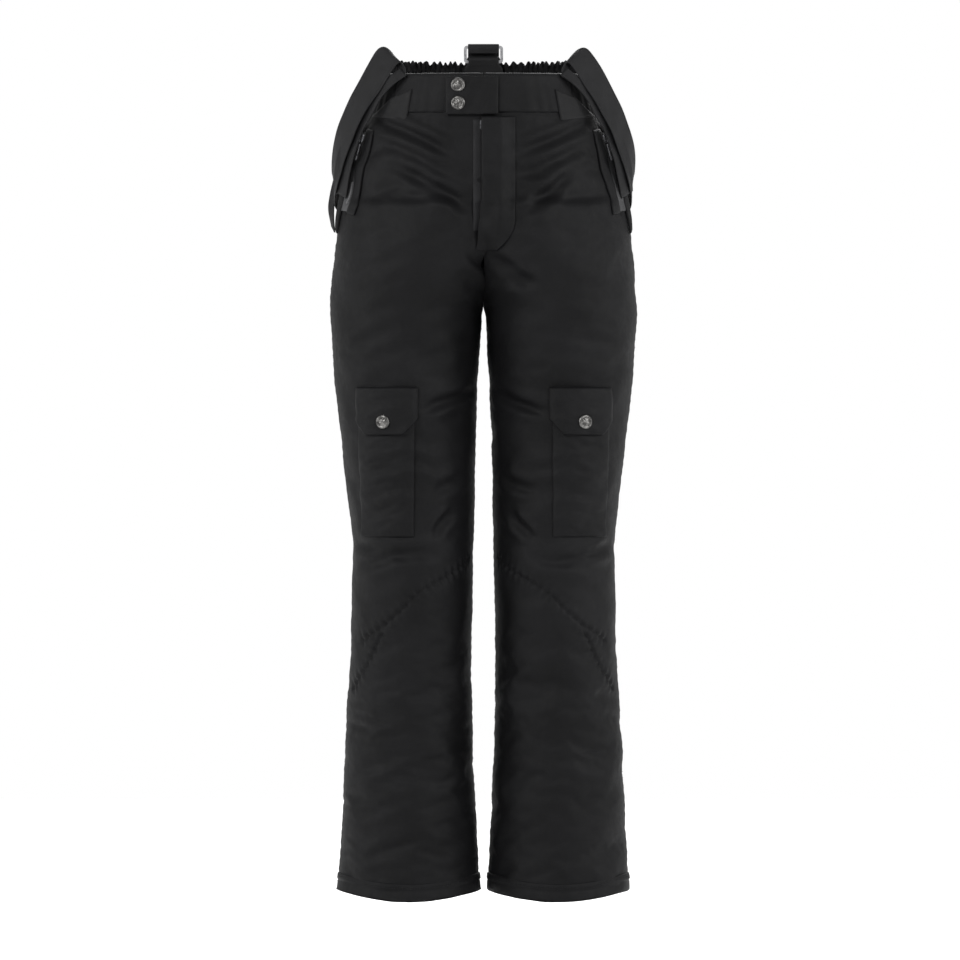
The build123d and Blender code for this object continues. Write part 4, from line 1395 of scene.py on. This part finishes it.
loop_low, loop_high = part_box("hanger_loop")
loop_y = (loop_low.y + loop_high.y) / 2 - 0.001
loop_pairs = [
    ((-0.035, loop_y, -0.022), (-0.027, loop_y, -0.022)),
    ((-0.034, loop_y - 0.001, -0.033), (-0.026, loop_y - 0.001, -0.031)),
    ((-0.024, loop_y - 0.003, -0.044), (-0.020, loop_y - 0.003, -0.036)),
    ((0.0, loop_y - 0.004, -0.046), (0.0, loop_y - 0.004, -0.038)),
    ((0.024, loop_y - 0.003, -0.044), (0.020, loop_y - 0.003, -0.036)),
    ((0.034, loop_y - 0.001, -0.033), (0.026, loop_y - 0.001, -0.031)),
    ((0.035, loop_y, -0.022), (0.027, loop_y, -0.022)),
]
dress(ribbon("hanger_loop_tape", loop_pairs, 0.0011, TAPE, across=5), "root", "shell", "hanger_loop")

# ---------------------------------------------------------------- cargo pockets
CARGO_X = 0.122
POCKET_HALF, FLAP_HALF = 0.040, 0.044
POCKET_LOW, POCKET_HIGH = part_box("cargo_pocket_left")
FLAP_LOW, FLAP_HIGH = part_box("cargo_flap_left")
FLAP_CORNER = 0.020
CARGO_SNAP_Z = -0.435


def cargo_patch(side, half, z_top, z_bottom, corner=0.0):
    """A patch on the outer front of the thigh, its lower corners cut off if it has any."""
    def place(u, v):
        z = z_top + v * (z_bottom - z_top)
        reach = half - np.clip(z_bottom + corner - z, 0, corner)
        middle = face_angle(np.full_like(z, CARGO_X), z, FRONT)
        girth = (sections(z)[1] + sections(z)[3]) / 2
        angle = middle + (2 * u - 1) * reach / girth
        return on_tube(SIDES[side], angle, z)
    return place


def pocket_relief(seed):
    """A full pocket: crowned, tight at its edges, wrinkled across."""
    def relief(u, v):
        crown = 0.0050 * np.sin(np.pi * u) ** 0.5 * np.sin(np.pi * np.clip(v * 1.02, 0, 1)) ** 0.35
        points = np.stack([u * 0.08, v * 0.186 * 2.4, 0 * u], 1)
        creases = 0.0016 * waves(seed, points, 0.06, 2) + 0.0006 * waves(seed + 1, points, 0.02, 2)
        return crown + creases * np.sin(np.pi * u) ** 0.5
    return relief


def flap_relief(seed):
    def relief(u, v):
        points = np.stack([u * 0.09, v * 0.06, 0 * u], 1)
        lift = 0.0006 + 0.0012 * v
        return lift + 0.0007 * waves(seed, points, 0.05, 2)
    return relief


for side in SIDES:
    seed = 51 if side == "left" else 67
    place = cargo_patch(side, POCKET_HALF, POCKET_HIGH.z, POCKET_LOW.z)
    pocket = slab(f"cargo_pocket_{side}", place, (44, 90), 0.0022, SHELL, lift=0.0004, on=trees[side],
                  relief=pocket_relief(seed), margins=(0.02, 0.01), soften=10)
    dress(pocket, f"thigh_{side}", "shell", f"cargo_pocket_{side}", fill=0.25)
    pocket_tree = tree_of(pocket)
    dress(outline_stitches(f"cargo_pocket_stitches_{side}", pocket_tree, place, (0.05, 0.02), "blr"),
          f"thigh_{side}", "shell")
    flap_place = cargo_patch(side, FLAP_HALF, FLAP_HIGH.z, FLAP_LOW.z, FLAP_CORNER)
    under = tree_of(pocket, bpy.data.objects[f"shell_upper_{side}"])
    flap = slab(f"cargo_flap_{side}", flap_place, (40, 30), 0.0022, SHELL, lift=0.0006, on=under,
                relief=flap_relief(seed + 5), margins=(0.03, 0.04), soften=14)
    dress(flap, f"cargo_flap_{side}", "shell", f"cargo_flap_{side}", fill=0.15)
    flap_tree = tree_of(flap)
    dress(outline_stitches(f"cargo_flap_stitches_{side}", flap_tree, flap_place, (0.06, 0.08), "tblr"),
          f"cargo_flap_{side}", "shell")
    snap = snap_on(f"cargo_snap_{side}", flap_tree, SIDES[side] * CARGO_X, CARGO_SNAP_Z)
    dress(snap, f"cargo_flap_{side}", "snap_metal", f"cargo_snap_{side}")
    stud = snap_on(f"cargo_stud_{side}_post", pocket_tree, SIDES[side] * CARGO_X, CARGO_SNAP_Z,
                   STUD_PROFILE, None)
    dress(stud, f"thigh_{side}", "snap_metal", f"cargo_stud_{side}")


# ---------------------------------------------------------------- hems and snow cuffs
def hoop(name, side, profile, material, relief=None, columns=220):
    """A closed band round a leg: its section is (height, offset) pairs."""
    angles = np.linspace(-np.pi, np.pi, columns, endpoint=False)
    rows = []
    for height, offset in profile:
        z = np.full(columns, height)
        points, outs = on_tube(SIDES[side], angles, z)
        if relief:
            lift, rise = relief(angles, height), 0
        else:
            lift = heights_over(trees[side], points, outs, (1, columns), 0)
            rise = HEM_RISE * np.cos(angles) ** 2
        points = points + outs * (lift + offset)[:, None]
        points[:, 2] += rise
        rows.append(points)
    verts = np.vstack(rows)
    count = len(profile)
    faces = []
    for i in range(count):
        for j in range(columns):
            a, b = i * columns, (i + 1) % count * columns
            k = (j + 1) % columns
            faces.append((a + j, a + k, b + k, b + j))
    obj = mesh_object(name, verts, faces, material)
    lay_uv(obj, np.tile(angles * 0.09, count), np.repeat([z for z, _ in profile], columns))
    return clean(obj)


HEM_SECTION = [
    (0.0225, 0.0002), (0.0215, 0.0012), (0.015, 0.0013), (0.0135, 0.0005), (0.012, 0.0013),
    (0.004, 0.0014), (0.0012, 0.0012), (0.0, 0.0002), (0.0, -0.0026), (0.0012, -0.0034),
    (0.012, -0.0036), (0.0225, -0.0032),
]
CUFF = [(-0.846, -0.0042), (-0.87, -0.009), (-0.90, -0.0165), (-0.95, -0.0195), (-1.0, -0.0215),
        (-1.012, -0.0215), (-1.026, -0.0212)]
CUFF_FABRIC = 0.0012


def cuff_gathers(angles, height):
    """The snow cuff's elastic draws its lower edge in."""
    drawn = smoothstep(-0.93, -1.015, height)
    return 0.0012 * drawn * np.sin(angles * 46 + 1.5 * np.sin(angles * 7))


for side in SIDES:
    section_points = [(HEM_BOTTOM + height, offset) for height, offset in HEM_SECTION]
    hem = hoop(f"hem_{side}", side, section_points, SHELL)
    dress(hem, f"shin_{side}", "shell", f"hem_{side}", fill=0.2)
    profile = CUFF + [(z, offset - CUFF_FABRIC) for z, offset in reversed(CUFF)]
    cuff = hoop(f"snow_cuff_{side}", side, profile, LINING, relief=cuff_gathers, columns=280)
    dress(cuff, f"shin_{side}", "lining", f"snow_cuff_{side}", fill=0.1)
    angles = np.linspace(-np.pi, np.pi, 260)
    rise = HEM_RISE * np.cos(angles) ** 2
    stitch_rows = []
    for height in (0.0165, 0.0185):
        points, _ = on_tube(SIDES[side], angles, np.full(260, HEM_BOTTOM + height), 0.003)
        points[:, 2] += rise
        stitch_rows.append(points)
    dress(sewn(f"hem_stitches_{side}", tree_of(hem), stitch_rows), f"shin_{side}", "shell")

# ---------------------------------------------------------------- finish
for name, node in NODES.items():
    if name.startswith(("hand_pocket_slider", "hand_pocket_pull", "fly_zip_slider", "fly_zip_pull")):
        finish = SLIDER
    elif "stud" in name:
        finish = SNAP
    elif name == "brace_ring":
        finish = RING
    elif name.startswith("brace_adjuster"):
        finish = BUCKLE
    else:
        finish = SHELL
    node.data.materials.clear()
    node.data.materials.append(finish)
